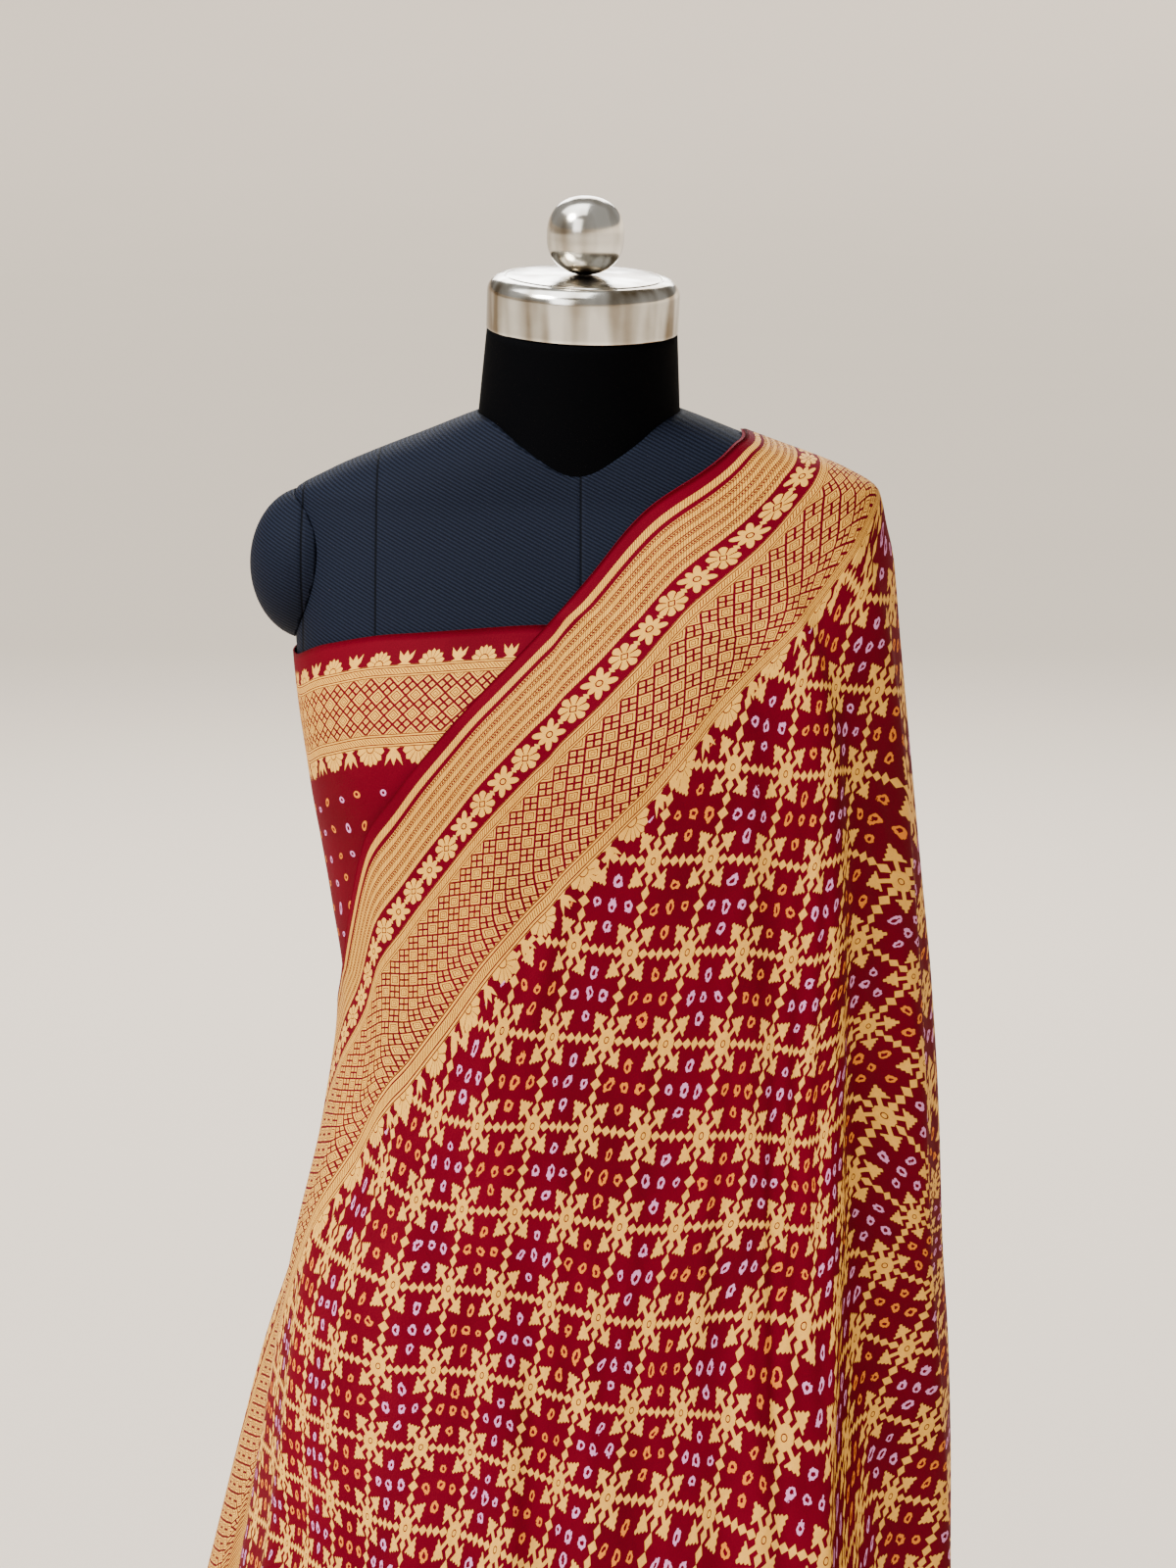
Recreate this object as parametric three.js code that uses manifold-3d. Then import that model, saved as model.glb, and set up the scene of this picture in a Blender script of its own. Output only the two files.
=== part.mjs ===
// A bandhani sari with woven gold borders, draped on a dress form on a round foot.
// Millimetres, Z up, the front faces -Y, the origin is under the middle of the foot.
// Cloth and form are rings about the upright axis: at azimuth phi a point lies at
// x = r cos(phi), y = -r sin(phi), so 0 is the right side, 90 the front, 180 the left
// side and 270 the back, as seen by someone who faces the form.
import * as THREE from 'three';
import { mergeVertices } from 'three/addons/utils/BufferGeometryUtils.js';
import Module from 'manifold-3d';

const wasm = await Module();
wasm.setup();

// Driving sizes
const GAP = 0.3;
const CLOTH_THICKNESS = 1.5;
const WRAP_CLEARANCE = 1.6;
const DRAPE_CLEARANCE = 1.6;
const EDGE_CLEARANCE = 2;
const EDGE_RAMP = { above: 4 * EDGE_CLEARANCE, span: 6 * EDGE_CLEARANCE };
const ROUNDNESS = 2.35;
const BLEND = 2;

const FOOT = { radius: 170, thickness: 10, edge: 3 };
const POLE = { radius: 15, top: 700 };
const FORM_BOTTOM = 620;
const FORM_STEP = 7.5;
const NECK = {
  bottom: 1340, leanForward: 5, leanRight: 2, back: 3, left: 3,
  top: 109, midShare: 0.55, lowRadius: 68, midRadius: 64, highRadius: 60.5,
};
const CAP = { radius: 61, height: 33.5, corner: 10, rise: 1.5 };
const BALL = { radius: 24.5, squareness: 2.3, seat: 5 };

// The form, a row for each height: half width, depth to the front and to the back
const FORM_SECTIONS = [
  { z: 620, side: 172, front: 112, back: 112 },
  { z: 700, side: 180, front: 118, back: 122 },
  { z: 780, side: 180, front: 118, back: 126 },
  { z: 840, side: 175, front: 113, back: 122 },
  { z: 900, side: 164, front: 104, back: 106 },
  { z: 960, side: 155, front: 98, back: 90 },
  { z: 1020, side: 154, front: 97, back: 82 },
  { z: 1080, side: 161, front: 104, back: 84 },
  { z: 1120, side: 167, front: 116, back: 89 },
  { z: 1150, side: 172, front: 126, back: 94 },
  { z: 1180, side: 176, front: 131, back: 99 },
  { z: 1210, side: 180, front: 129, back: 102 },
  { z: 1240, side: 183, front: 121, back: 104 },
  { z: 1255, side: 184, front: 115, back: 104.5 },
  { z: 1270, side: 185, front: 108, back: 104 },
  { z: 1300, side: 186, front: 95, back: 100 },
  { z: 1325, side: 186, front: 82, back: 92 },
  { z: 1345, side: 184, front: 71, back: 82 },
  { z: 1358, side: 163, front: 67, back: 74 },
  { z: 1371, side: 133, front: 62.5, back: 67 },
  { z: 1384, side: 99, front: 55, back: 62 },
  { z: 1396, side: 68, front: 47, back: 57 },
  { z: 1408, side: 30, front: 26, back: 34 },
];

// The padded arm ends: middle, then reach, half depth and half height of the dome
const ARM_ENDS = [
  { name: 'arm_end_left', x: -175, z: 1299, reach: 38, depth: 51, height: 49 },
  { name: 'arm_end_right', x: 175, z: 1294, reach: 23, depth: 43, height: 42 },
];

// The inner wrap, a row for each height: how far it stands out on the four sides
const WRAP_SECTIONS = [
  { z: 130, side: 226, front: 168, back: 178 },
  { z: 310, side: 215, front: 154, back: 164 },
  { z: 480, side: 203, front: 141, back: 150 },
  { z: 620, side: 193, front: 130, back: 139 },
  { z: 700, side: 187, front: 124, back: 133 },
  { z: 780, side: 182, front: 120, back: 128 },
  { z: 840, side: 176, front: 115, back: 123 },
  { z: 900, side: 165, front: 106, back: 108 },
  { z: 1020, side: 154, front: 97, back: 84 },
  { z: 1300, side: 150, front: 60, back: 60 },
];
const WRAP_LEVELS = [1240, 1210, 1180, 1150, 1120, 1080, 1020, 960, 900, 840, 780, 700, 560, 420, 270, 130];
const WRAP_TOP = [
  { phi: -105, z: 1252 },
  { phi: -45, z: 1248 },
  { phi: -8, z: 1241 },
  { phi: 12, z: 1243 },
  { phi: 60, z: 1268 },
  { phi: 100, z: 1276 },
  { phi: 141, z: 1268 },
  { phi: 156, z: 1258 },
  { phi: 170, z: 1245 },
  { phi: 190, z: 1243 },
  { phi: 220, z: 1250 },
  { phi: 285, z: 1252 },
];
const WRAP_START = -105;
const WRAP_END = 285;
const WRAP_LIFT_FROM = 228;
const WRAP_LIFT_TO = 252;
const WRAP_LIFT = 2.6;
const WRAP_FOLDS = { count: 11, startsBelow: 820, hemSwell: 5 };

// The outer drape, a row for each height: its smooth standing surface on four sides
const DRAPE_SECTIONS = [
  { z: 30, left: 306, right: 262, front: 196, back: 196 },
  { z: 150, left: 296, right: 259, front: 190, back: 190 },
  { z: 300, left: 281, right: 256, front: 180, back: 181 },
  { z: 450, left: 259, right: 252, front: 168, back: 170 },
  { z: 604, left: 231, right: 248, front: 155, back: 157 },
  { z: 675, left: 219, right: 247, front: 148, back: 150 },
  { z: 760, left: 206, right: 244, front: 139, back: 141 },
  { z: 844, left: 191, right: 238, front: 133, back: 131 },
  { z: 934, left: 170, right: 234, front: 130, back: 117 },
  { z: 1021, left: 158.5, right: 228, front: 131, back: 107 },
  { z: 1100, left: 165, right: 220, front: 134, back: 104 },
  { z: 1170, left: 175, right: 213, front: 135, back: 106 },
  { z: 1250, left: 180, right: 205, front: 119, back: 109 },
  { z: 1289, left: 180, right: 201, front: 101, back: 104 },
  { z: 1317, left: 170, right: 196, front: 86, back: 94 },
  { z: 1345, left: 150, right: 190, front: 68, back: 82 },
  { z: 1358, left: 120, right: 171, front: 60, back: 74 },
  { z: 1396, left: 50, right: 60, front: 40, back: 50 },
];

// The front selvedge, from the crest of the right shoulder down to the left waist
const SELVEDGE = [
  { phi: -40, z: 1326 },
  { phi: -30, z: 1362 },
  { phi: -20, z: 1377 },
  { phi: 0, z: 1385 },
  { phi: 19, z: 1381 },
  { phi: 45, z: 1359 },
  { phi: 70, z: 1332 },
  { phi: 87, z: 1304 },
  { phi: 100, z: 1278 },
  { phi: 115, z: 1240 },
  { phi: 128, z: 1197 },
  { phi: 136, z: 1169 },
  { phi: 144, z: 1143 },
  { phi: 148, z: 1122 },
  { phi: 154, z: 1086 },
  { phi: 162, z: 1044 },
  { phi: 180, z: 1000 },
];

// Where the same selvedge hangs behind: past the left waist, and down from the shoulder
const LEFT_EDGE = [
  { z: 30, phi: 215 },
  { z: 300, phi: 214 },
  { z: 604, phi: 212 },
  { z: 732, phi: 210 },
  { z: 850, phi: 205 },
  { z: 950, phi: 194 },
  { z: 1000, phi: 180 },
];
const RIGHT_EDGE = [
  { z: 30, phi: -63 },
  { z: 300, phi: -61 },
  { z: 600, phi: -58 },
  { z: 750, phi: -55 },
  { z: 900, phi: -52 },
  { z: 1100, phi: -49 },
  { z: 1250, phi: -46 },
  { z: 1326, phi: -40 },
];
const HEM = [
  { phi: -65, z: 288 },
  { phi: -30, z: 270 },
  { phi: 0, z: 236 },
  { phi: 20, z: 182 },
  { phi: 40, z: 112 },
  { phi: 60, z: 60 },
  { phi: 90, z: 36 },
  { phi: 140, z: 34 },
  { phi: 215, z: 40 },
];

// How far the free left edge swings out behind the hip
const FLARE = [
  { z: 30, out: 112 },
  { z: 300, out: 106 },
  { z: 450, out: 98 },
  { z: 604, out: 78 },
  { z: 732, out: 54 },
  { z: 850, out: 18 },
  { z: 950, out: 3 },
  { z: 1000, out: 0 },
];
const FLARE_FROM = 184;
const FLARE_SPAN = 30;

// The folds, a row each: azimuth and swell at four heights, and the half width in
// degrees of each flank, on the left (greater azimuth) and on the right
const FOLD_FADE = { top: 1350, span: 100 };
const FOLD_LEVELS = [1250, 900, 650, 40];
const FOLDS = [
  { name: 'left side', phi: [172, 173, 173, 174], swell: [0, 0, 3, 16], left: 6, right: 6 },
  { name: 'left outer ridge', phi: [160, 160, 157, 158], swell: [0, 2, 9, 24], left: 4, right: 5 },
  { name: 'left inner ridge', phi: [150, 150, 147, 144], swell: [0, 0, 8, 22], left: 4, right: 5 },
  { name: 'left front', phi: [130, 130, 128, 127], swell: [0, 1, 4, 22], left: 7, right: 7 },
  { name: 'middle left', phi: [113, 113, 108, 106], swell: [0, 3, 8, 26], left: 8, right: 5 },
  { name: 'middle', phi: [84, 84, 84, 84], swell: [0, 1, 6, 24], left: 8, right: 8 },
  { name: 'middle right', phi: [62, 62, 64, 65], swell: [0, 1, 5, 24], left: 6, right: 6 },
  { name: 'right front', phi: [50, 49, 53, 58], swell: [1, 4, 8, 20], left: 4, right: 3 },
  { name: 'right ridge', phi: [34, 35.5, 42, 45], swell: [5, 15, 19, 28], left: 7, right: 3 },
  { name: 'side panel', phi: [16, 17.5, 17, 18], swell: [4, 11, 14, 24], left: 5, right: 3 },
  { name: 'side', phi: [1, 0, -1, -1], swell: [0, 3, 4, 12], left: 4, right: 5 },
  { name: 'back side', phi: [-14, -13, -12, -11], swell: [3, 7, 11, 20], left: 4, right: 4 },
  { name: 'back middle', phi: [-28, -28, -28, -28], swell: [2, 7, 12, 22], left: 5, right: 4 },
  { name: 'back edge', phi: [-42, -44, -47, -50], swell: [1, 5, 9, 18], left: 5, right: 5 },
  { name: 'left hanging edge', phi: [200, 200, 197, 196], swell: [0, 0, 4, 14], left: 5, right: 5 },
];

// The front selvedge's ends, at the left waist and behind the right shoulder
const WAIST_END = 180;
const SHOULDER_END = -40;

// Columns of the drape between these azimuths, closer together where the folds are sharp
const DRAPE_COLUMNS = [
  { from: WAIST_END, to: 60, step: 4.8 },
  { from: 60, to: 12, step: 2.4 },
  { from: 12, to: SHOULDER_END, step: 4 },
];
const DRAPE_ROWS = 28;
const FINE_ROWS_ON_TOP = 0.32;
const LEAN_LEFT_FROM = 110;
const LEAN_RIGHT_FROM = 10;
const HEM_LOOKED_UP_AT = 100;
const PATH = { samples: 240, crowding: 1.6 };
const SLOPE_STEP = 0.5;
const SHOULDER_BLOCK = { width: 160, size: 240 };

const COLOURS = {
  form: { color: 0x252b36, roughness: 0.85, metalness: 0 },
  neck: { color: 0x08090d, roughness: 0.9, metalness: 0 },
  polished: { color: 0xb8b4a8, roughness: 0.18, metalness: 1 },
  stand: { color: 0x3a3b3d, roughness: 0.45, metalness: 0.8 },
  crimson: { color: 0x8c0f22, roughness: 0.62, metalness: 0 },
  gold: { color: 0xc98f52, roughness: 0.5, metalness: 0.2 },
};

const radians = THREE.MathUtils.degToRad;
const clamp01 = (value) => Math.min(1, Math.max(0, value));
const ease = (value) => clamp01(value) ** 2 * (3 - 2 * clamp01(value));
const softMax = (a, b) => (a + b + Math.hypot(a - b, BLEND)) / 2;

// A smooth curve through a table's rows that never swings past them
function curveAt(rows, key, name, value) {
  const last = rows.length - 1;
  if (value <= rows[0][key]) {
    return rows[0][name];
  }
  if (value >= rows[last][key]) {
    return rows[last][name];
  }
  const i = rows.findIndex((row) => row[key] > value) - 1;
  const secant = (k) => (rows[k + 1][name] - rows[k][name]) / (rows[k + 1][key] - rows[k][key]);
  const slope = (k) => {
    if (k === 0 || k === last) {
      return secant(Math.min(k, last - 1));
    }
    const before = secant(k - 1);
    const after = secant(k);
    return before * after <= 0 ? 0 : (2 * before * after) / (before + after);
  };
  const step = rows[i + 1][key] - rows[i][key];
  const t = (value - rows[i][key]) / step;
  const t2 = t * t;
  const t3 = t2 * t;
  return (2 * t3 - 3 * t2 + 1) * rows[i][name] + (t3 - 2 * t2 + t) * step * slope(i)
    + (3 * t2 - 2 * t3) * rows[i + 1][name] + (t3 - t2) * step * slope(i + 1);
}

// Radius at an azimuth of a rounded section with its own reach on each of four sides
function sectionRadius(phi, right, left, front, back) {
  const c = Math.cos(radians(phi));
  const s = Math.sin(radians(phi));
  const across = Math.abs(c) / (c > 0 ? right : left);
  const deep = Math.abs(s) / (s > 0 ? front : back);
  return (across ** ROUNDNESS + deep ** ROUNDNESS) ** (-1 / ROUNDNESS);
}

function formRadius(phi, z) {
  const reach = (name) => curveAt(FORM_SECTIONS, 'z', name, z);
  return sectionRadius(phi, reach('side'), reach('side'), reach('front'), reach('back'));
}

// Radius at which a level line at azimuth phi leaves an arm end, or 0 where it misses
function armEndRadius(end, phi, z) {
  const c = Math.cos(radians(phi)) / end.reach;
  const s = Math.sin(radians(phi)) / end.depth;
  const a = c * c + s * s;
  const b = (c * end.x) / end.reach;
  const k = (end.x / end.reach) ** 2 + ((z - end.z) / end.height) ** 2 - 1;
  const root = b * b - a * k;
  return root < 0 || b < 0 ? 0 : (b + Math.sqrt(root)) / a;
}

// How much further out a gap measured level must be for its true width across the wall
function slant(radiusAt, phi, z) {
  const step = SLOPE_STEP;
  const r = radiusAt(phi, z);
  const rise = (radiusAt(phi, z + step) - radiusAt(phi, z - step)) / (2 * step);
  const turn = (radiusAt(phi + step, z) - radiusAt(phi - step, z)) / (2 * radians(step) * r);
  return Math.sqrt(1 + rise * rise + turn * turn);
}

function wrapRadius(phi, z) {
  const reach = (name) => curveAt(WRAP_SECTIONS, 'z', name, z);
  const hanging = sectionRadius(phi, reach('side'), reach('side'), reach('front'), reach('back'));
  const onForm = z > FORM_BOTTOM ? formRadius(phi, z) + WRAP_CLEARANCE * slant(formRadius, phi, z) : 0;
  const drop = clamp01((WRAP_FOLDS.startsBelow - z) / WRAP_FOLDS.startsBelow);
  const folds = WRAP_FOLDS.hemSwell * drop * (1 + Math.sin(radians(phi) * WRAP_FOLDS.count));
  const lift = WRAP_LIFT * ease((phi - WRAP_LIFT_FROM) / (WRAP_LIFT_TO - WRAP_LIFT_FROM));
  return Math.max(onForm, hanging) + folds + lift;
}

function wrapTop(phi) {
  return curveAt(WRAP_TOP, 'phi', 'z', phi);
}

// What the drape lies on: the form, its right arm end and the inner wrap
function supportRadius(phi, z) {
  const onForm = Math.max(formRadius(phi, z), armEndRadius(ARM_ENDS[1], phi, z));
  const belowEdge = wrapTop(phi) + EDGE_RAMP.above - z;
  const wrapOuter = wrapRadius(phi, Math.min(z, wrapTop(phi))) + CLOTH_THICKNESS;
  return Math.max(onForm, onForm + (wrapOuter - onForm) * ease(belowEdge / EDGE_RAMP.span + 1 / 2));
}

function foldAt(row, name, z) {
  const levels = FOLD_LEVELS.map((level, k) => ({ level, value: row[name][k] })).reverse();
  return curveAt(levels, 'level', 'value', z);
}

function foldSwell(phi, z) {
  const fade = ease((FOLD_FADE.top - z) / FOLD_FADE.span);
  let swell = 0;
  for (const row of FOLDS) {
    const away = phi - foldAt(row, 'phi', z);
    const width = away > 0 ? row.left : row.right;
    swell += foldAt(row, 'swell', z) * Math.exp(-((away / width) ** 2));
  }
  return swell * fade;
}

function drapeRadius(phi, z) {
  const reach = (name) => curveAt(DRAPE_SECTIONS, 'z', name, z);
  const hanging = sectionRadius(phi, reach('right'), reach('left'), reach('front'), reach('back'));
  const flare = curveAt(FLARE, 'z', 'out', z) * ease((phi - FLARE_FROM) / FLARE_SPAN);
  const onBody = z > FORM_BOTTOM ? supportRadius(phi, z) + DRAPE_CLEARANCE * slant(formRadius, phi, z) : 0;
  return softMax(hanging + flare, onBody) + foldSwell(phi, z);
}

const pointAt = (phi, z, r) => [r * Math.cos(radians(phi)), -r * Math.sin(radians(phi)), z];

// A sheet with thickness: grid[column][row] holds an azimuth and a height
function sheetGeometry(grid, radiusAt, thickness) {
  const columns = grid.length;
  const rows = grid[0].length;
  const positions = [];
  for (const outward of [0, thickness]) {
    for (const column of grid) {
      for (const { phi, z } of column) {
        const lift = outward > 0 ? outward * slant(radiusAt, phi, z) : 0;
        positions.push(...pointAt(phi, z, radiusAt(phi, z) + lift));
      }
    }
  }
  const inner = (i, j) => i * rows + j;
  const outer = (i, j) => columns * rows + inner(i, j);
  const indices = [];
  const quad = (a, b, c, d) => indices.push(a, c, b, a, d, c);
  for (let i = 0; i < columns - 1; i += 1) {
    for (let j = 0; j < rows - 1; j += 1) {
      quad(outer(i, j), outer(i, j + 1), outer(i + 1, j + 1), outer(i + 1, j));
      quad(inner(i, j), inner(i + 1, j), inner(i + 1, j + 1), inner(i, j + 1));
    }
    quad(inner(i, 0), outer(i, 0), outer(i + 1, 0), inner(i + 1, 0));
    quad(inner(i + 1, rows - 1), outer(i + 1, rows - 1), outer(i, rows - 1), inner(i, rows - 1));
  }
  for (let j = 0; j < rows - 1; j += 1) {
    quad(inner(0, j + 1), outer(0, j + 1), outer(0, j), inner(0, j));
    quad(inner(columns - 1, j), outer(columns - 1, j), outer(columns - 1, j + 1), inner(columns - 1, j + 1));
  }
  const geometry = new THREE.BufferGeometry();
  geometry.setAttribute('position', new THREE.Float32BufferAttribute(positions, 3));
  geometry.setIndex(indices);
  return geometry;
}

// A closed body of stacked rings with a flat bottom and a flat top
function ringsGeometry(levels, step, radiusAt) {
  const count = Math.round(360 / step);
  const positions = [];
  for (const z of levels) {
    for (let i = 0; i < count; i += 1) {
      positions.push(...pointAt(i * step, z, radiusAt(i * step, z)));
    }
  }
  const bottom = levels.length * count;
  positions.push(0, 0, levels[0], 0, 0, levels[levels.length - 1]);
  const indices = [];
  for (let i = 0; i < count; i += 1) {
    const next = (i + 1) % count;
    for (let j = 0; j < levels.length - 1; j += 1) {
      const low = j * count;
      const high = low + count;
      indices.push(low + i, high + i, high + next, low + i, high + next, low + next);
    }
    const top = (levels.length - 1) * count;
    indices.push(bottom, i, next, bottom + 1, top + next, top + i);
  }
  const geometry = new THREE.BufferGeometry();
  geometry.setAttribute('position', new THREE.Float32BufferAttribute(positions, 3));
  geometry.setIndex(indices);
  return geometry;
}

// A turned body about the Z axis from an outline of [radius, height] pairs
function turnedGeometry(outline, segments) {
  const points = outline.map(([r, z]) => new THREE.Vector2(r, z));
  return new THREE.LatheGeometry(points, segments).rotateX(Math.PI / 2);
}

function solidOf(geometry) {
  const bare = geometry.clone();
  bare.deleteAttribute('normal');
  bare.deleteAttribute('uv');
  const merged = mergeVertices(bare, 1e-4);
  return new wasm.Manifold(new wasm.Mesh({
    numProp: 3,
    vertProperties: merged.attributes.position.array,
    triVerts: new Uint32Array(merged.index.array),
  }));
}

function geometryOf(solid) {
  const mesh = solid.getMesh();
  const geometry = new THREE.BufferGeometry();
  geometry.setAttribute('position', new THREE.BufferAttribute(mesh.vertProperties, 3));
  geometry.setIndex(new THREE.BufferAttribute(mesh.triVerts, 1));
  return geometry;
}

function named(name, geometry, colours) {
  geometry.computeVertexNormals();
  const mesh = new THREE.Mesh(geometry, new THREE.MeshStandardMaterial(colours));
  mesh.name = name;
  return mesh;
}

function footMesh() {
  const { radius, thickness, edge } = FOOT;
  const outline = [
    [0, 0], [radius, 0], [radius, thickness - edge], [radius - edge, thickness], [0, thickness],
  ];
  return named('stand_foot', turnedGeometry(outline, 40), COLOURS.stand);
}

function poleGeometry(radius, bottom, top) {
  return turnedGeometry([[0, bottom], [radius, bottom], [radius, top], [0, top]], 20);
}

// The neck's outline, let out all round by a margin where a socket is cut for it
function neckOutline(margin) {
  return [
    [0, -margin],
    [NECK.lowRadius + margin, -margin],
    [NECK.midRadius + margin, NECK.top * NECK.midShare],
    [NECK.highRadius + margin, NECK.top],
    [0, NECK.top],
  ];
}

function neckCapOutline() {
  const { radius, height, rise, corner } = CAP;
  const outline = [[0, 0], [radius, 0], [radius, height - corner]];
  for (const turn of [22.5, 45, 67.5, 90]) {
    const across = radius - corner + corner * Math.cos(radians(turn));
    outline.push([across, height - corner + corner * Math.sin(radians(turn))]);
  }
  for (const share of [0.5, 0]) {
    outline.push([(radius - corner) * share, height + rise * (1 - share * share)]);
  }
  return outline;
}

function ballOutline() {
  const { radius, squareness, seat } = BALL;
  const outline = [[0, -radius], [seat, -radius]];
  const steps = 11;
  for (let i = 1; i <= steps; i += 1) {
    const turn = -Math.PI / 2 + (Math.PI * i) / steps;
    const c = Math.max(0, Math.cos(turn));
    const s = Math.sin(turn);
    const r = radius * (c ** squareness + Math.abs(s) ** squareness) ** (-1 / squareness);
    outline.push([i === steps ? 0 : r * c, r * s]);
  }
  return outline;
}

// Neck, cap and ball stand on one axis that leans a little to the front and the right
function leaningGroup() {
  const group = new THREE.Group();
  group.position.set(-NECK.left, NECK.back, NECK.bottom);
  group.rotation.set(radians(NECK.leanForward), radians(NECK.leanRight), 0);
  group.add(named('form_neck', turnedGeometry(neckOutline(0), 40), COLOURS.neck));
  const cap = named('neck_cap', turnedGeometry(neckCapOutline(), 40), COLOURS.polished);
  cap.position.z = NECK.top + GAP;
  group.add(cap);
  const ball = named('neck_ball', turnedGeometry(ballOutline(), 28), COLOURS.polished);
  ball.position.z = NECK.top + GAP + CAP.height + CAP.rise + GAP + BALL.radius;
  group.add(ball);
  return group;
}

function formSolid(margin) {
  const levels = FORM_SECTIONS.map((row) => row.z);
  return solidOf(ringsGeometry(levels, FORM_STEP, (phi, z) => formRadius(phi, z) + margin));
}

function torsoMesh() {
  const group = leaningGroup();
  group.updateMatrixWorld(true);
  const neckRoom = turnedGeometry(neckOutline(GAP), 40).applyMatrix4(group.matrixWorld);
  const poleRoom = poleGeometry(POLE.radius + GAP, FORM_BOTTOM - 10, POLE.top + GAP);
  const torso = formSolid(0).subtract(solidOf(neckRoom)).subtract(solidOf(poleRoom));
  return named('form_torso', geometryOf(torso), COLOURS.form);
}

function armEndMesh(end) {
  const { width, size } = SHOULDER_BLOCK;
  const dome = new THREE.SphereGeometry(1, 24, 14);
  dome.scale(end.reach, end.depth, end.height).translate(end.x, 0, end.z);
  const shoulderSide = solidOf(new THREE.BoxGeometry(width, size, size).translate(end.x / 2, 0, end.z));
  const cap = solidOf(dome).subtract(formSolid(GAP * 2)).subtract(shoulderSide);
  return named(end.name, geometryOf(cap), COLOURS.form);
}

function wrapMesh() {
  const grid = [];
  for (let phi = WRAP_START; phi <= WRAP_END + 0.01; phi += FORM_STEP) {
    grid.push([wrapTop(phi), ...WRAP_LEVELS].map((z) => ({ phi, z })));
  }
  return named('inner_wrap', sheetGeometry(grid, wrapRadius, CLOTH_THICKNESS), COLOURS.crimson);
}

// Azimuth at height z of the drape's column that starts at an azimuth on the selvedge
function columnPhi(start, z) {
  const leanLeft = ease((start - LEAN_LEFT_FROM) / (WAIST_END - LEAN_LEFT_FROM));
  const leanRight = ease((LEAN_RIGHT_FROM - start) / (LEAN_RIGHT_FROM - SHOULDER_END));
  const toLeft = curveAt(LEFT_EDGE, 'z', 'phi', z) - WAIST_END;
  const toRight = curveAt(RIGHT_EDGE, 'z', 'phi', z) - SHOULDER_END;
  return start + leanLeft * toLeft + leanRight * toRight;
}

// The heights of one column's rows, set out along the cloth from selvedge to hem
function columnPoints(start) {
  const top = curveAt(SELVEDGE, 'phi', 'z', start);
  const bottom = curveAt(HEM, 'phi', 'z', columnPhi(start, HEM_LOOKED_UP_AT));
  const { samples, crowding } = PATH;
  const path = [{ phi: start, z: top, length: 0 }];
  for (let k = 1; k <= samples; k += 1) {
    const z = top + (bottom - top) * (k / samples) ** crowding;
    const phi = columnPhi(start, z);
    const before = path[k - 1];
    const from = pointAt(before.phi, before.z, drapeRadius(before.phi, before.z));
    const to = pointAt(phi, z, drapeRadius(phi, z));
    const step = Math.hypot(to[0] - from[0], to[1] - from[1], to[2] - from[2]);
    path.push({ phi, z, length: before.length + step });
  }
  const total = path[samples].length;
  return Array.from({ length: DRAPE_ROWS + 1 }, (_, k) => {
    const share = k / DRAPE_ROWS;
    const wanted = total * share * (FINE_ROWS_ON_TOP + (1 - FINE_ROWS_ON_TOP) * share);
    const z = curveAt(path, 'length', 'z', wanted);
    return { phi: columnPhi(start, z), z };
  });
}

function drapeMesh() {
  const starts = [DRAPE_COLUMNS[0].from];
  for (const { from, to, step } of DRAPE_COLUMNS) {
    for (let phi = from - step; phi >= to - 0.01; phi -= step) {
      starts.push(phi);
    }
  }
  const grid = starts.reverse().map(columnPoints);
  return named('sari_drape', sheetGeometry(grid, drapeRadius, CLOTH_THICKNESS), COLOURS.gold);
}

const object = new THREE.Group();
object.add(footMesh());
object.add(named('stand_pole', poleGeometry(POLE.radius, FOOT.thickness + GAP, POLE.top), COLOURS.stand));
object.add(torsoMesh());
object.add(leaningGroup());
for (const end of ARM_ENDS) {
  object.add(armEndMesh(end));
}
object.add(wrapMesh());
object.add(drapeMesh());

export default object;
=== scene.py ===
"""A bandhani sari with woven gold borders, draped on a dress form on a round foot.

Sizes in the tables are millimetres. At azimuth phi a point of the cloth or the form lies at
x = r cos(phi), y = -r sin(phi): 0 is the right side, 90 the front, 180 the left side and
270 the back, as seen by someone who faces the form.
"""

import math
from functools import reduce

import bmesh
import bpy
import numpy as np
from bpy.props import FloatProperty, FloatVectorProperty, PointerProperty
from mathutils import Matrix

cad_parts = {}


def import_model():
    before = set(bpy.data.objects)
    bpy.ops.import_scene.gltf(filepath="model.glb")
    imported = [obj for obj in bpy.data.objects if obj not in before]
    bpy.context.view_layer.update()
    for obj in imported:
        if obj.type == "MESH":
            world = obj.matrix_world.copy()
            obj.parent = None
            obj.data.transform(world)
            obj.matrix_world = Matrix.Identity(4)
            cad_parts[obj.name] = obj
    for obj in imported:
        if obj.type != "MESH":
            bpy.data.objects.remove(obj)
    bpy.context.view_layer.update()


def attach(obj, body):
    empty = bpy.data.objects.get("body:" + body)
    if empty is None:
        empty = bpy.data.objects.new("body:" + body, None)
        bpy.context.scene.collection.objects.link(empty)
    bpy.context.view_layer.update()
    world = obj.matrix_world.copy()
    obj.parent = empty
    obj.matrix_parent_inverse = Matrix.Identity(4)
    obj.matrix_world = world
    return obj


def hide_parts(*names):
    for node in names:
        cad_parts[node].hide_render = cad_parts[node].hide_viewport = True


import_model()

bl_info = {
    "name": "Bandhani sari on a dress form",
    "version": (1, 0, 0),
    "blender": (4, 5, 0),
    "location": "View3D > Sidebar > Sari",
    "description": "Builds the draped sari, its inner wrap, the dress form and the stage",
    "category": "Object",
}

MM = 0.001


def table(columns, rows):
    """Rows of numbers as one array for each named column."""
    return dict(zip(columns.split(), np.array([*rows], float).T))


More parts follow.
